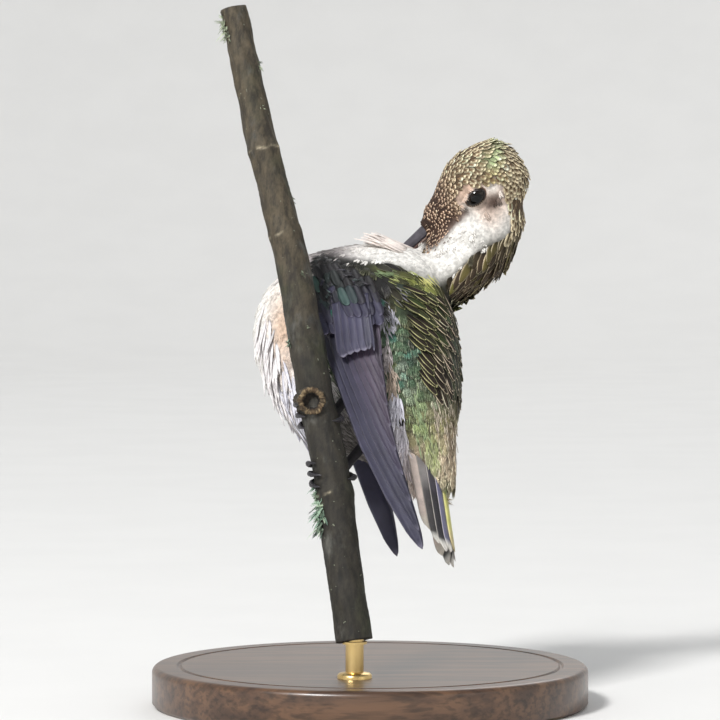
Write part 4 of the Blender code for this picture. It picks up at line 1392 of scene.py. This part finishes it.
def on_eye(side, ahead, up, rise):
    """Points over an eye and its rim: rise above the ball, or above the skin where that is higher."""
    out = np.maximum(ball_height(ahead, up), skin_height(ahead, up)) + rise
    rel = ahead[..., None] * HEAD_FORWARD + up[..., None] * HEAD_UP
    return eye_centre(side) + rel + out[..., None] * HEAD_LEFT * SIDES[side]


def make_eye(side, material):
    """An eyeball, less tall than long, with a low cornea, a dark iris and a darker pupil."""
    tilt = np.linspace(0.002, math.pi - 0.002, 60)
    turn = full_turn(72)
    bulge = 1.0 + 0.02 * np.exp(-((tilt / 0.6) ** 4))
    ahead = np.outer(EYE_HALF[0] * bulge * np.sin(tilt), np.cos(turn))
    up = np.outer(EYE_HALF[1] * bulge * np.sin(tilt), np.sin(turn))
    out = np.outer(EYE_HALF[2] * bulge * np.cos(tilt), np.ones(len(turn)))
    rings = eye_centre(side) + ahead[..., None] * HEAD_FORWARD + up[..., None] * HEAD_UP
    points, faces = stacked(rings + out[..., None] * HEAD_LEFT * SIDES[side])
    iris = step(0.42, 0.5, tilt) * (1.0 - step(0.85, 0.95, tilt))
    colours = np.repeat(blend((0.002, 0.002, 0.002), (0.010, 0.006, 0.004), iris), len(turn), 0)
    tinted_piece(f"eye_ball_{side}", points, faces, colours, material, (f"eye_{side}",))


def lid_opening(turn, beyond):
    """An almond, pointed before and behind: its outline that far beyond the opening."""
    ahead = (EYE_OPENING[0] + beyond) * np.cos(turn)
    up = (EYE_OPENING[1] + beyond) * np.sin(turn) * np.abs(np.sin(turn)) ** 0.25
    return ahead, up


def make_lids(side, material):
    """The bare, beaded rim of skin round an eye, closed underneath."""
    turn = full_turn(120)
    beads = np.sin(LID_BEADS * turn)
    rings = []
    for beyond, rise in LID_SECTION:
        bead = 0.02 * beads * (0.0 < beyond < 0.2)
        rings.append(on_eye(side, *lid_opening(turn, beyond + bead), rise))
    rings = np.array(rings)
    points, (quads, _) = stacked(rings)
    count, sides = rings.shape[:2]
    k = np.arange(sides)
    last = (count - 1) * sides
    closing = np.stack([last + k, last + (k + 1) % sides, (k + 1) % sides, k], 1)
    closing = closing if quads[0, 1] == 1 else closing[:, ::-1]
    ring_of = np.repeat(np.arange(count), sides)
    bare = blend((0.016, 0.012, 0.012), (0.16, 0.09, 0.06), step(2.5, 5.0, ring_of))
    below = np.tile(beads * step(-0.3, -0.8, np.sin(turn - 0.5)), count) * (ring_of < 4)
    bare = blend(bare, (0.62, 0.50, 0.34), 0.8 * step(0.5, 0.9, below))
    tinted_piece(f"eyelids_{side}", points, [np.concatenate([quads, closing])], bare, material)


# ---- perch, legs and feet

TWIG_ROUTE = (  # height and x
    (9.5, -1.9), (21.0, -3.6), (29.0, -4.6), (37.5, -6.4), (50.0, -8.6), (56.5, -9.9), (71.0, -13.6),
    (86.0, -16.8),
)
TWIG_DEPTH, TWIG_LEVEL, TWIG_SLOPE = -7.6, 44.0, 0.176
TWIG_RADIUS, TWIG_TOP_RADIUS = 2.2, 1.65
TWIG_SCARS = (27.0, 58.3, 68.6)
TWIG_LOW, TWIG_HIGH = TWIG_ROUTE[0][0], TWIG_ROUTE[-1][0]
STUB_HEIGHT, STUB_SHIFT, STUB_RADIUS, STUB_LENGTH = 38.3, -0.55, 1.55, 3.1


def twig_middle(height):
    """Points of the twig's middle line at these heights."""
    route = smooth_route([(x, 0, z) for z, x in TWIG_ROUTE], 6)
    height = np.asarray(height, float)
    x = np.interp(height, route[:, 2], route[:, 0])
    return np.stack([x, TWIG_DEPTH + (height - TWIG_LEVEL) * TWIG_SLOPE, height], -1)


def twig_radius(height):
    """The twig's radius at these heights, swollen at its scars."""
    part = np.maximum(0.0, (height - TWIG_LEVEL) / (TWIG_HIGH - TWIG_LEVEL))
    radius = TWIG_RADIUS + (TWIG_TOP_RADIUS - TWIG_RADIUS) * part
    for scar in TWIG_SCARS:
        radius = radius + 0.16 * bell(height, scar, 0.8)
    return radius


def ripples(length, angle, chance, count, amount):
    """Gentle unevenness over a tube, made of a few random waves."""
    total = np.zeros(np.broadcast(length, angle).shape)
    for _ in range(count):
        around, along = chance.integers(1, 9), chance.uniform(0.15, 1.6)
        phase = chance.uniform(0.0, 2.0 * math.pi)
        total += amount / math.sqrt(count) * np.sin(around * angle + along * length + phase)
    return total


def bark_colours(points, height, chance):
    """Brown-olive bark with painted shade, darker low down, and thin uneven pale ring scars."""
    wander = 0.12 * np.sin(points[:, 0] * 3.0 + points[:, 1] * 2.0)
    scar = sum(bell(height - place + wander, 0.0, 0.13) for place in TWIG_SCARS)
    broken = step(-0.4, 0.6, np.sin(points[:, 0] * 2.1 - points[:, 1] * 3.3 + height))
    # Darker low down: painted shade over the twig's lower half.
    colour = blend((0.018, 0.015, 0.010), (0.055, 0.043, 0.026), step(38.0, 62.0, height))
    colour = blend(colour, (0.30, 0.26, 0.18), 0.75 * scar * broken)
    return colour * uneven(chance, 0.08, len(points))


def make_twig(material):
    """The perch's bark: a bent tube with knots and ridges along it."""
    chance = np.random.default_rng(SEED + 5)
    height = np.linspace(TWIG_LOW, TWIG_HIGH, 420)
    angle = full_turn(56)
    swell = ripples(height[:, None], angle, chance, 14, 0.07)
    ridges = 0.035 * np.abs(ripples(height[:, None] * 2.5, angle * 2, chance, 10, 1.0))
    radii = twig_radius(height)[:, None] + swell - ridges
    points, faces = stacked(tube_rings(twig_middle(height), radii, len(angle)))
    colours = bark_colours(points, np.repeat(height, len(angle)), chance)
    tinted_piece("twig_bark", points, faces, colours, material, ("perch_twig",))


STUB_RINGS = (  # out from the twig's middle, and the part of the stub's radius
    (0.0, 1.45), (0.8, 1.2), (1.6, 1.12), (2.3, 1.08), (2.7, 1.08), (3.0, 1.06), (STUB_LENGTH, 1.0),
    (STUB_LENGTH, 0.84), (2.95, 0.7), (2.6, 0.6), (2.2, 0.5), (1.9, 0.02),
)
FIRST_CUT_RING, FIRST_HOLLOW_RING = 5, 8


def make_stub(material):
    """The cut side twig: rough bark, a ragged pale ring and a hollow painted dark as shade."""
    chance = np.random.default_rng(SEED + 10)
    reach, across = np.array(STUB_RINGS).T
    turn = full_turn(96)
    rough = ripples(reach[:, None], turn * 2, chance, 12, 0.05)
    rough = rough + ripples(reach[:, None], turn * 5, chance, 8, 0.03)
    depth = ripples(reach[:, None], turn * 3, chance, 10, 0.10) * (reach > 2.5)[:, None]
    start = twig_middle(STUB_HEIGHT) + (STUB_SHIFT, 0.0, 0.0)
    upright = level_way(turn)[:, (0, 2, 1)]
    rings = start + ((across * STUB_RADIUS)[:, None] * (1.0 + rough))[..., None] * upright
    rings[..., 1] -= reach[:, None] - np.maximum(depth, 0.0)
    points, faces = stacked(rings)
    row = np.repeat(np.arange(len(reach)), len(turn))
    round_it = np.sin(turn * 3.0 + 1.0) + 0.7 * np.sin(turn * 7.0 + 2.0) + chance.normal(0.0, 0.5, len(turn))
    waves = 0.5 * np.tile(round_it, len(reach)) + chance.normal(0.0, 1.0, len(points))
    ring = blend((0.055, 0.034, 0.018), (0.21, 0.155, 0.085), step(-0.4, 2.0, waves))
    colours = np.where((row >= FIRST_CUT_RING)[:, None], ring, (0.045, 0.034, 0.020))
    # Painted shade: the hollow inside the cut is coloured near-black.
    colours = blend(colours, (0.014, 0.010, 0.007), step(FIRST_HOLLOW_RING, FIRST_HOLLOW_RING + 1.0, row))
    tinted_piece("twig_stub", points, faces, colours, material)


PALE_LICHEN, BLUE_LICHEN = (0.46, 0.52, 0.36), (0.26, 0.42, 0.32)
LICHEN = (  # height, bearing from +X, how many, size, colour
    (84.0, 200, 30, 0.8, PALE_LICHEN), (82.5, 215, 18, 0.6, PALE_LICHEN), (79.0, 340, 12, 0.6, PALE_LICHEN),
    (53.8, 300, 8, 0.5, PALE_LICHEN), (27.6, 196, 10, 0.7, BLUE_LICHEN), (26.2, 200, 16, 0.9, BLUE_LICHEN),
    (24.6, 194, 26, 1.1, BLUE_LICHEN), (23.0, 198, 18, 1.2, BLUE_LICHEN), (45.0, 195, 8, 0.5, BLUE_LICHEN),
    (63.0, 20, 10, 0.5, PALE_LICHEN), (74.0, 300, 6, 0.3, PALE_LICHEN), (47.5, 280, 5, 0.3, PALE_LICHEN),
)


def make_lichen(material):
    """Small pale crusts and beards on the bark."""
    chance = np.random.default_rng(SEED + 6)
    coat = Coat()
    shape = barbs_shape(5, 40, raggedness=0.7, width=0.9, spread=1.3)
    for height, bearing, count, reach, colour in LICHEN:
        levels = height + chance.normal(0.0, 0.5 * reach, count)
        angles = np.radians(bearing) + chance.normal(0.0, 0.2 * reach, count)
        normal = level_way(angles)
        root = twig_middle(levels) + normal * (twig_radius(levels) - 0.1)[:, None]
        way = laid_on(chance.normal(0.0, 0.8, (count, 3)) + (0, 0, -1.0), normal)
        length = reach * chance.uniform(0.6, 2.0, count)
        size = columns(count, length, reach * chance.uniform(0.3, 0.8, count), 0.06)
        rise = columns(count, chance.uniform(0.2, 1.2, count), 0.1, -0.4)
        shade = chance.uniform(0.15, 1.3, count)[:, None]
        tint = tones(blend(colour, PALE_LICHEN, 0.8 * chance.random(count)) * shade, 0.0)
        place = columns(count, bearing / 360.0, levels / 100.0)
        coat.plant(shape, root, way, normal, size, rise, tint, tint, place)
    coat.make("lichen", material, "bark")


FOOT_HEIGHTS = {"left": 36.4, "right": 29.4}
PALM_BEARINGS = {"left": 58.0, "right": 70.0}
HIPS = {"left": np.array((-2.0, -1.0, 39.5)), "right": np.array((1.5, 1.5, 35.0))}
TOE_RADIUS, CLAW_RADIUS, PALM_RADIUS, LEG_RADIUS = 0.42, 0.24, 0.75, 0.6
FOOT_GAP = 0.3  # between the palm and the bark
FRONT_TOES = (-24.0, 0.0, 24.0)  # degrees that each slants
TOES = (  # degrees round the twig, and climb, of each toe
    *((172.0 - 0.5 * abs(slant), math.tan(math.radians(slant)) * 3.2) for slant in FRONT_TOES),
    (-112.0, -0.5),
)
CLAW_START, TOE_END = 0.74, 0.8  # parts of a toe's length
FOOT_COLOUR = (0.020, 0.018, 0.022)


def around_twig(height, bearing, distance):
    """Points that far from the twig's middle line, at these heights and bearings."""
    return twig_middle(height) + level_way(bearing) * distance[..., None]


def toe_route(height, start, turn, slant):
    """The parts of a toe's length, from palm to claw, and its middle line round the twig there."""
    part = np.linspace(0.0, 1.0, 60)
    level = height + slant * np.sin(part * 1.5)
    distance = twig_radius(level) + 0.36 + 0.12 * np.sin(part * math.pi)
    return part, around_twig(level, np.radians(start + turn * part), distance)


def toe_shapes(side, turn, slant):
    """A toe's scaly part and its claw."""
    part, route = toe_route(FOOT_HEIGHTS[side], PALM_BEARINGS[side], turn, slant)
    scutes = 1.0 + 0.07 * np.abs(np.sin(part * math.pi * 13.0))
    pads = 1.0 + 0.12 * np.cos(part * math.pi * 7.0)
    radii = TOE_RADIUS * 0.8 * (1.0 - 0.2 * part) * scutes * pads
    bare, claw = part < TOE_END, part > CLAW_START
    curl = (part[claw] - CLAW_START) / (1.0 - CLAW_START)
    scaly = stacked(tube_rings(route[bare], radii[bare], 14))
    return scaly, stacked(tube_rings(route[claw], CLAW_RADIUS * 1.35 * (1.03 - curl) ** 0.6, 12))


def leg_shape(side):
    """The palm and the leg, up to the feathers."""
    height, hip = FOOT_HEIGHTS[side], HIPS[side]
    palm = around_twig(height, np.radians(PALM_BEARINGS[side]), twig_radius(height) + FOOT_GAP + PALM_RADIUS)
    ankle = palm + (hip - palm) * 0.02
    route = smooth_route([palm - (0, 0, 0.3), ankle, palm * 0.5 + hip * 0.5, hip], 14)
    v = np.linspace(0.0, 1.0, len(route))
    radii = (LEG_RADIUS + 0.25 * bell(v, 0.0, 0.12)) * (1.0 + 0.05 * np.abs(np.sin(v * 40.0)))
    return stacked(tube_rings(route, radii, 16))


def make_foot(side, scales, horn):
    """A foot with its leg, and its claws."""
    toes, claws = zip(*(toe_shapes(side, *toe) for toe in TOES))
    for name, parts, material, replaced in (
        (f"foot_{side}_skin", (*toes, leg_shape(side)), scales, (f"foot_{side}", f"leg_{side}")),
        (f"foot_{side}_claws", claws, horn, ()),
    ):
        points, faces = joined(parts)
        colours = np.tile(FOOT_COLOUR, (len(points), 1))
        tinted_piece(name, points, faces, colours, material, replaced)


# ---- stand


STAND_RADIUS, STAND_HEIGHT, STAND_BEVEL = 27.0, 5.0, 0.8
DISC_GROOVE = ((3.0, 0.0), (3.2, 0.25), (3.5, 0.25), (3.7, 0.0))  # in from the disc's edge, and deep
ROD_RADIUS = 1.1
ROD_PROFILE = (  # radius and height: a foot on the disc, the rod, and a collar under the twig
    (NEAR_AXIS, 4.9), (2.1, 4.9), (2.1, 5.35), (1.9, 5.6), (ROD_RADIUS, 5.75), (ROD_RADIUS, 9.1),
    (1.5, 9.15), (1.5, 9.45), (ROD_RADIUS, 9.5), (ROD_RADIUS, 12.4), (NEAR_AXIS, 12.5),
)


def lathed(profile, sides):
    """Rings round the Z axis, from (radius, height) pairs."""
    circle = level_way(full_turn(sides))
    return np.array([circle * radius + (0.0, 0.0, height) for radius, height in profile])


def turned_piece(name, centre, profile, sides, material, replaced):
    """A closed shape turned on a lathe."""
    points, faces = stacked(lathed(profile, sides) + centre)
    piece = mesh_object(name, points, faces)
    piece.data.set_sharp_from_angle(angle=math.radians(50.0))
    finish_piece(piece, material, replaced)


def make_stand(wood, brass):
    """A wooden disc with a groove round its top, and the brass rod that holds the twig."""
    across, high = STAND_RADIUS - STAND_BEVEL, STAND_HEIGHT - STAND_BEVEL
    profile = [(NEAR_AXIS, 0.0), (STAND_RADIUS - 0.5, 0.0), (STAND_RADIUS, 0.5)]
    for a in np.linspace(math.pi / 2, 0.0, 8):
        profile.append((across + STAND_BEVEL * math.sin(a), high + STAND_BEVEL * math.cos(a)))
    profile += [(STAND_RADIUS - inset, STAND_HEIGHT - deep) for inset, deep in DISC_GROOVE]
    profile.append((NEAR_AXIS, STAND_HEIGHT))
    turned_piece("plinth_disc", (0.0, 0.0, 0.0), profile, 160, wood, ("stand_base",))
    x, y, _ = twig_middle(TWIG_LOW)
    turned_piece("brass_rod", (x, y, 0.0), ROD_PROFILE, 64, brass, ("stand_rod",))


# ---- materials


class Finish:
    """A procedural material, built on its own Principled shader."""

    def __init__(self, name, settings):
        self.material = bpy.data.materials.new(name)
        self.material.use_nodes = True
        self.tree = self.material.node_tree
        self.shader = self.tree.nodes["Principled BSDF"]
        for key, value in settings.items():
            self.shader.inputs[key].default_value = value

    def feed(self, socket, value):
        """Links a socket, or sets its value."""
        if isinstance(value, bpy.types.NodeSocket):
            self.tree.links.new(value, socket)
        else:
            socket.default_value = value

    def node(self, kind, inputs=None, **settings):
        """A new shader node with these inputs and settings."""
        made = self.tree.nodes.new("ShaderNode" + kind)
        for key, value in settings.items():
            setattr(made, key, value)
        for key, value in (inputs or {}).items():
            self.feed(made.inputs[key], value)
        return made

    def maths(self, operation, *values):
        """A value worked out from others."""
        made = self.node("Math", operation=operation)
        for socket, value in zip(made.inputs, values):
            self.feed(socket, value)
        return made.outputs[0]

    def mix(self, part, first, second, kind="MIX"):
        """A colour between two, or another way of blending them."""
        made = self.node("Mix", {0: part, 6: first, 7: second}, data_type="RGBA", blend_type=kind)
        return made.outputs[2]

    def ramp(self, value, low, high, to_low=0.0, to_high=1.0):
        """A value mapped smoothly from one range to another."""
        inputs = {"Value": value, "From Min": low, "From Max": high, "To Min": to_low, "To Max": to_high}
        return self.node("MapRange", inputs, interpolation_type="SMOOTHSTEP").outputs[0]

    def noise(self, scale, detail=3.0, stretch=(1.0, 1.0, 1.0), roughness=0.5):
        """Noise that stays with the object, about 0.5. It is finer the greater its scale and stretch."""
        place = self.node("TexCoord").outputs["Object"]
        place = self.node("Mapping", {"Vector": place, "Scale": stretch}).outputs[0]
        inputs = {"Vector": place, "Scale": scale, "Detail": detail, "Roughness": roughness}
        return self.node("TexNoise", inputs).outputs[0]

    def attribute(self, name):
        """A colour of the mesh's points, and its alpha."""
        made = self.node("Attribute", attribute_name=name)
        return made.outputs["Color"], made.outputs["Alpha"]

    def vane(self):
        """Distance off the shaft and along it, each 0 to 1."""
        place = self.node("UVMap", uv_map="Vane").outputs[0]
        split = self.node("SeparateXYZ", {0: place})
        off = self.maths("ABSOLUTE", self.maths("MULTIPLY_ADD", split.outputs[0], 2.0, -1.0))
        return off, split.outputs[1]

    def finish(self, colour, height=None, strength=0.3, distance=0.05, metallic=None, roughness=None):
        """The material, with its colour, relief, metal and roughness fed in."""
        self.feed(self.shader.inputs["Base Color"], colour)
        if height is not None:
            inputs = {"Height": height, "Strength": strength, "Distance": distance * UNIT}
            self.feed(self.shader.inputs["Normal"], self.node("Bump", inputs).outputs[0])
        if metallic is not None:
            self.feed(self.shader.inputs["Metallic"], metallic)
        if roughness is not None:
            self.feed(self.shader.inputs["Roughness"], roughness)
        return self.material


FEATHERS = (  # name, barbs, where its rim and its tip start, gloss, how dark its root is (its grey base, and painted shade where the feather above covers it), shader settings
    ("plumage", 7.0, 0.5, 0.62, 0.8, 0.4, {"Roughness": 0.42, "Sheen Weight": 0.1}),
    ("quills", 9.0, 0.64, 0.93, 0.5, 0.25, {"Roughness": 0.6, "Specular IOR Level": 0.2}),
    ("down", 5.0, 0.3, 0.42, 0.0, 0.88, {"Roughness": 0.9, "Specular IOR Level": 0.2, "Sheen Weight": 0.06}),
    ("flight_feathers", 46.0, 0.8, 0.92, 0.5, 0.8, {"Roughness": 0.42}),
    ("tail_feathers", 46.0, 0.8, 0.92, 0.7, 0.7, {"Roughness": 0.42}),
    ("head_scales", 5.0, 0.2, 0.66, 0.8, 0.3, {"Roughness": 0.6, "Specular IOR Level": 0.25}),
)


def feather_finish(name, barbs, rim_from, tip_from, gloss, root_shade, settings):
    """Feathers: a middle colour and a rim colour from the mesh, barbs, a root darkened partly for its grey
    base and partly with painted shade where the feather above covers it, and some gloss.
    """
    made = Finish(name, settings)
    tint, shine = made.attribute("tint")
    rim, _ = made.attribute("rim")
    off, along = made.vane()
    edge = made.maths("MAXIMUM", made.ramp(off, rim_from, 0.98), made.ramp(along, tip_from, 0.99))
    colour = made.mix(edge, tint, rim)
    slant = made.maths("MULTIPLY_ADD", off, -0.4, along)
    lines = made.maths("SINE", made.maths("MULTIPLY", slant, barbs * 2.0 * math.pi))
    strands = made.ramp(lines, -1.0, 1.0, 0.8, 1.08)
    # Darker towards the root: partly the feather's own grey base, partly painted shade under the feather
    # above.
    root = made.ramp(along, 0.0, 0.5, root_shade, 1.0)
    patchy = made.ramp(made.noise(700.0), 0.3, 0.7, 0.86, 1.12)
    shade = made.maths("MULTIPLY", made.maths("MULTIPLY", strands, root), patchy)
    colour = made.mix(1.0, colour, shade, "MULTIPLY")
    metallic = made.maths("MULTIPLY", made.maths("MULTIPLY_ADD", edge, -0.6, 1.0), shine)
    metallic = made.maths("MULTIPLY", metallic, gloss)
    return made.finish(colour, lines, 0.35, 0.03, metallic)


TINTED = (  # name, scale of the noise, its contrast, how strong and how high the relief is, roughness
    ("bill_horn", 900.0, 0.25, 0.25, 0.03, 0.33),
    ("bare_skin", 2500.0, 0.35, 0.6, 0.05, 0.6),
    ("cut_wood", 1400.0, 0.55, 0.9, 0.12, 0.9),
    ("lichen", 1800.0, 0.4, 0.6, 0.05, 0.95),
    ("skin", 1800.0, 0.3, 0.6, 0.05, 0.9),
)


def tinted_finish(name, scale, contrast, bump, distance, roughness):
    """The mesh's own colour, broken up by noise, with relief from the same noise."""
    made = Finish(name, {"Roughness": roughness})
    tint, _ = made.attribute("tint")
    grain = made.noise(scale, 5.0, roughness=0.6)
    shade = made.ramp(grain, 0.3, 0.7, 1.0 - contrast, 1.0 + contrast)
    return made.finish(made.mix(1.0, tint, shade, "MULTIPLY"), grain, bump, distance)


def bark_finish():
    """Bark with pale blotches, moss, fibres and specks."""
    made = Finish("bark", {"Roughness": 0.75})
    tint, _ = made.attribute("tint")
    blotch = made.ramp(made.noise(260.0, 5.0, (1.0, 1.0, 0.6), 0.62), 0.52, 0.68)
    colour = made.mix(blotch, tint, (0.060, 0.058, 0.050, 1.0))
    moss = made.ramp(made.noise(120.0, 3.0), 0.5, 0.7)
    colour = made.mix(moss, colour, (0.026, 0.028, 0.013, 1.0))
    fibre = made.noise(1300.0, 6.0, (1.0, 1.0, 0.3), 0.7)
    colour = made.mix(1.0, colour, made.ramp(fibre, 0.32, 0.68, 0.4, 1.6), "MULTIPLY")
    speck = made.ramp(made.noise(1700.0, 2.0), 0.72, 0.77)
    colour = made.mix(speck, colour, (0.20, 0.21, 0.15, 1.0))
    height = made.maths("MULTIPLY_ADD", blotch, 0.3, fibre)
    return made.finish(colour, height, 0.9, 0.12)


def wood_finish():
    """Dark oiled wood with long grain."""
    made = Finish("plinth_wood", {"Roughness": 0.35, "Coat Weight": 0.25, "Coat Roughness": 0.2})
    grain = made.noise(60.0, 6.0, (0.6, 9.0, 9.0), 0.6)
    pores = made.noise(900.0, 3.0, (0.12, 2.0, 2.0))
    colour = made.mix(made.ramp(grain, 0.35, 0.65), (0.055, 0.028, 0.016, 1.0), (0.12, 0.062, 0.032, 1.0))
    colour = made.mix(1.0, colour, made.ramp(pores, 0.35, 0.55, 0.6, 1.1), "MULTIPLY")
    return made.finish(colour, pores, 0.15, 0.05)


def brass_finish():
    """Brass, a little worn."""
    made = Finish("brass", {"Metallic": 1.0})
    wear = made.noise(500.0, 4.0, (1.0, 1.0, 0.3))
    colour = made.mix(made.ramp(wear, 0.35, 0.7), (0.62, 0.43, 0.17, 1.0), (0.78, 0.58, 0.27, 1.0))
    return made.finish(colour, wear, 0.08, 0.02, roughness=made.ramp(wear, 0.3, 0.7, 0.22, 0.38))


def eye_finish():
    """A wet eye."""
    made = Finish("eye", {"Roughness": 0.05, "IOR": 1.36})
    tint, _ = made.attribute("tint")
    fleck = made.ramp(made.noise(3500.0, 2.0), 0.35, 0.7, 0.7, 1.3)
    return made.finish(made.mix(1.0, tint, fleck, "MULTIPLY"))


# ---- stage

AIM = (-1.25, 6.0, 42.5)
ELEVATION = 2.5
CAMERA_DISTANCE = 500.0
LENS, SENSOR = 200.0, 36.0
FLOOR_RADIUS, SWEEP, WALL_HEIGHT = 0.9, 0.6, 1.4  # metres
LAMPS = (  # name, place from the bird's middle, size, watts
    ("key", (-0.56, -0.84, 0.88), 0.24, 18.0),
    ("fill", (1.0, -0.80, 0.27), 0.8, 1.1),
    ("back", (0.28, 1.0, 0.75), 0.6, 2.6),
)
ROOM_COLOUR, ROOM_LIGHT = (0.86, 0.92, 1.0, 1.0), 0.4


def make_floor():
    """A plain pale floor that sweeps up into a wall far off, all round."""
    bend = np.linspace(0.0, math.pi / 2, 16)
    profile = [(0.001, 0.0), (FLOOR_RADIUS, 0.0)]
    profile += [(FLOOR_RADIUS + SWEEP * math.sin(a), SWEEP * (1.0 - math.cos(a))) for a in bend[1:]]
    profile.append((FLOOR_RADIUS + SWEEP, WALL_HEIGHT))
    rings = lathed(profile, 96)
    quads = ring_quads(*rings.shape[:2])[:, (0, 3, 2, 1)]
    floor = mesh_object("floor", rings.reshape(-1, 3) / UNIT, [quads])
    paper = Finish("floor_paper", {"Roughness": 0.9})
    grain = paper.ramp(paper.noise(40.0), 0.3, 0.7, 0.98, 1.0)
    floor.data.materials.append(paper.finish(paper.mix(1.0, (0.80, 0.79, 0.77, 1.0), grain, "MULTIPLY")))


def make_lights():
    """An even pale room and three soft lamps."""
    world = bpy.data.worlds.new("room")
    world.use_nodes = True
    sky = world.node_tree.nodes["Background"].inputs
    sky[0].default_value = ROOM_COLOUR
    sky[1].default_value = ROOM_LIGHT
    bpy.context.scene.world = world
    bpy.context.scene.view_settings.view_transform = "Standard"
    middle = Vector(AIM) * UNIT
    for name, place, size, power in LAMPS:
        light = bpy.data.lights.new(name, "AREA")
        light.size = size
        light.energy = power
        lamp = bpy.data.objects.new(name, light)
        lamp.location = middle + Vector(place)
        lamp.rotation_euler = (-Vector(place)).to_track_quat("-Z", "Y").to_euler()
        bpy.context.scene.collection.objects.link(lamp)


def make_camera():
    """The main view, from slightly above level, with a long lens."""
    camera = bpy.data.cameras.new("camera")
    camera.lens, camera.sensor_width, camera.clip_start = LENS, SENSOR, 0.01
    holder = bpy.data.objects.new("camera", camera)
    rise = math.radians(ELEVATION)
    away = Vector((0.0, -math.cos(rise), math.sin(rise))) * CAMERA_DISTANCE
    holder.location = (Vector(AIM) + away) * UNIT
    holder.rotation_euler = (math.pi / 2 - rise, 0.0, 0.0)
    bpy.context.scene.collection.objects.link(holder)
    bpy.context.scene.camera = holder


def main():
    """Builds the stage, the skin with its coat, and every other piece;."""
    make_floor()
    make_lights()
    make_camera()
    feathers = {name: feather_finish(name, *numbers) for name, *numbers in FEATHERS}
    tinted = {name: tinted_finish(name, *numbers) for name, *numbers in TINTED}
    skin = Skin()
    skin.make(tinted["skin"])
    clothe(skin, feathers)
    make_ribs(skin, feathers["quills"])
    make_tufts(skin, feathers["down"])
    for side in SIDES:
        make_primaries(side, feathers["flight_feathers"])
        make_secondaries(side, feathers["flight_feathers"])
        make_coverts(side, skin, feathers["flight_feathers"])
        make_lids(side, tinted["bare_skin"])
        make_foot(side, tinted["bare_skin"], tinted["bill_horn"])
    make_tail(feathers["tail_feathers"])
    for half in BILL_DEPTHS:
        make_bill(half, tinted["bill_horn"])
    gloss = eye_finish()
    for side in SIDES:
        make_eye(side, gloss)
    make_twig(bark_finish())
    make_stub(tinted["cut_wood"])
    make_lichen(tinted["lichen"])
    make_stand(wood_finish(), brass_finish())


main()
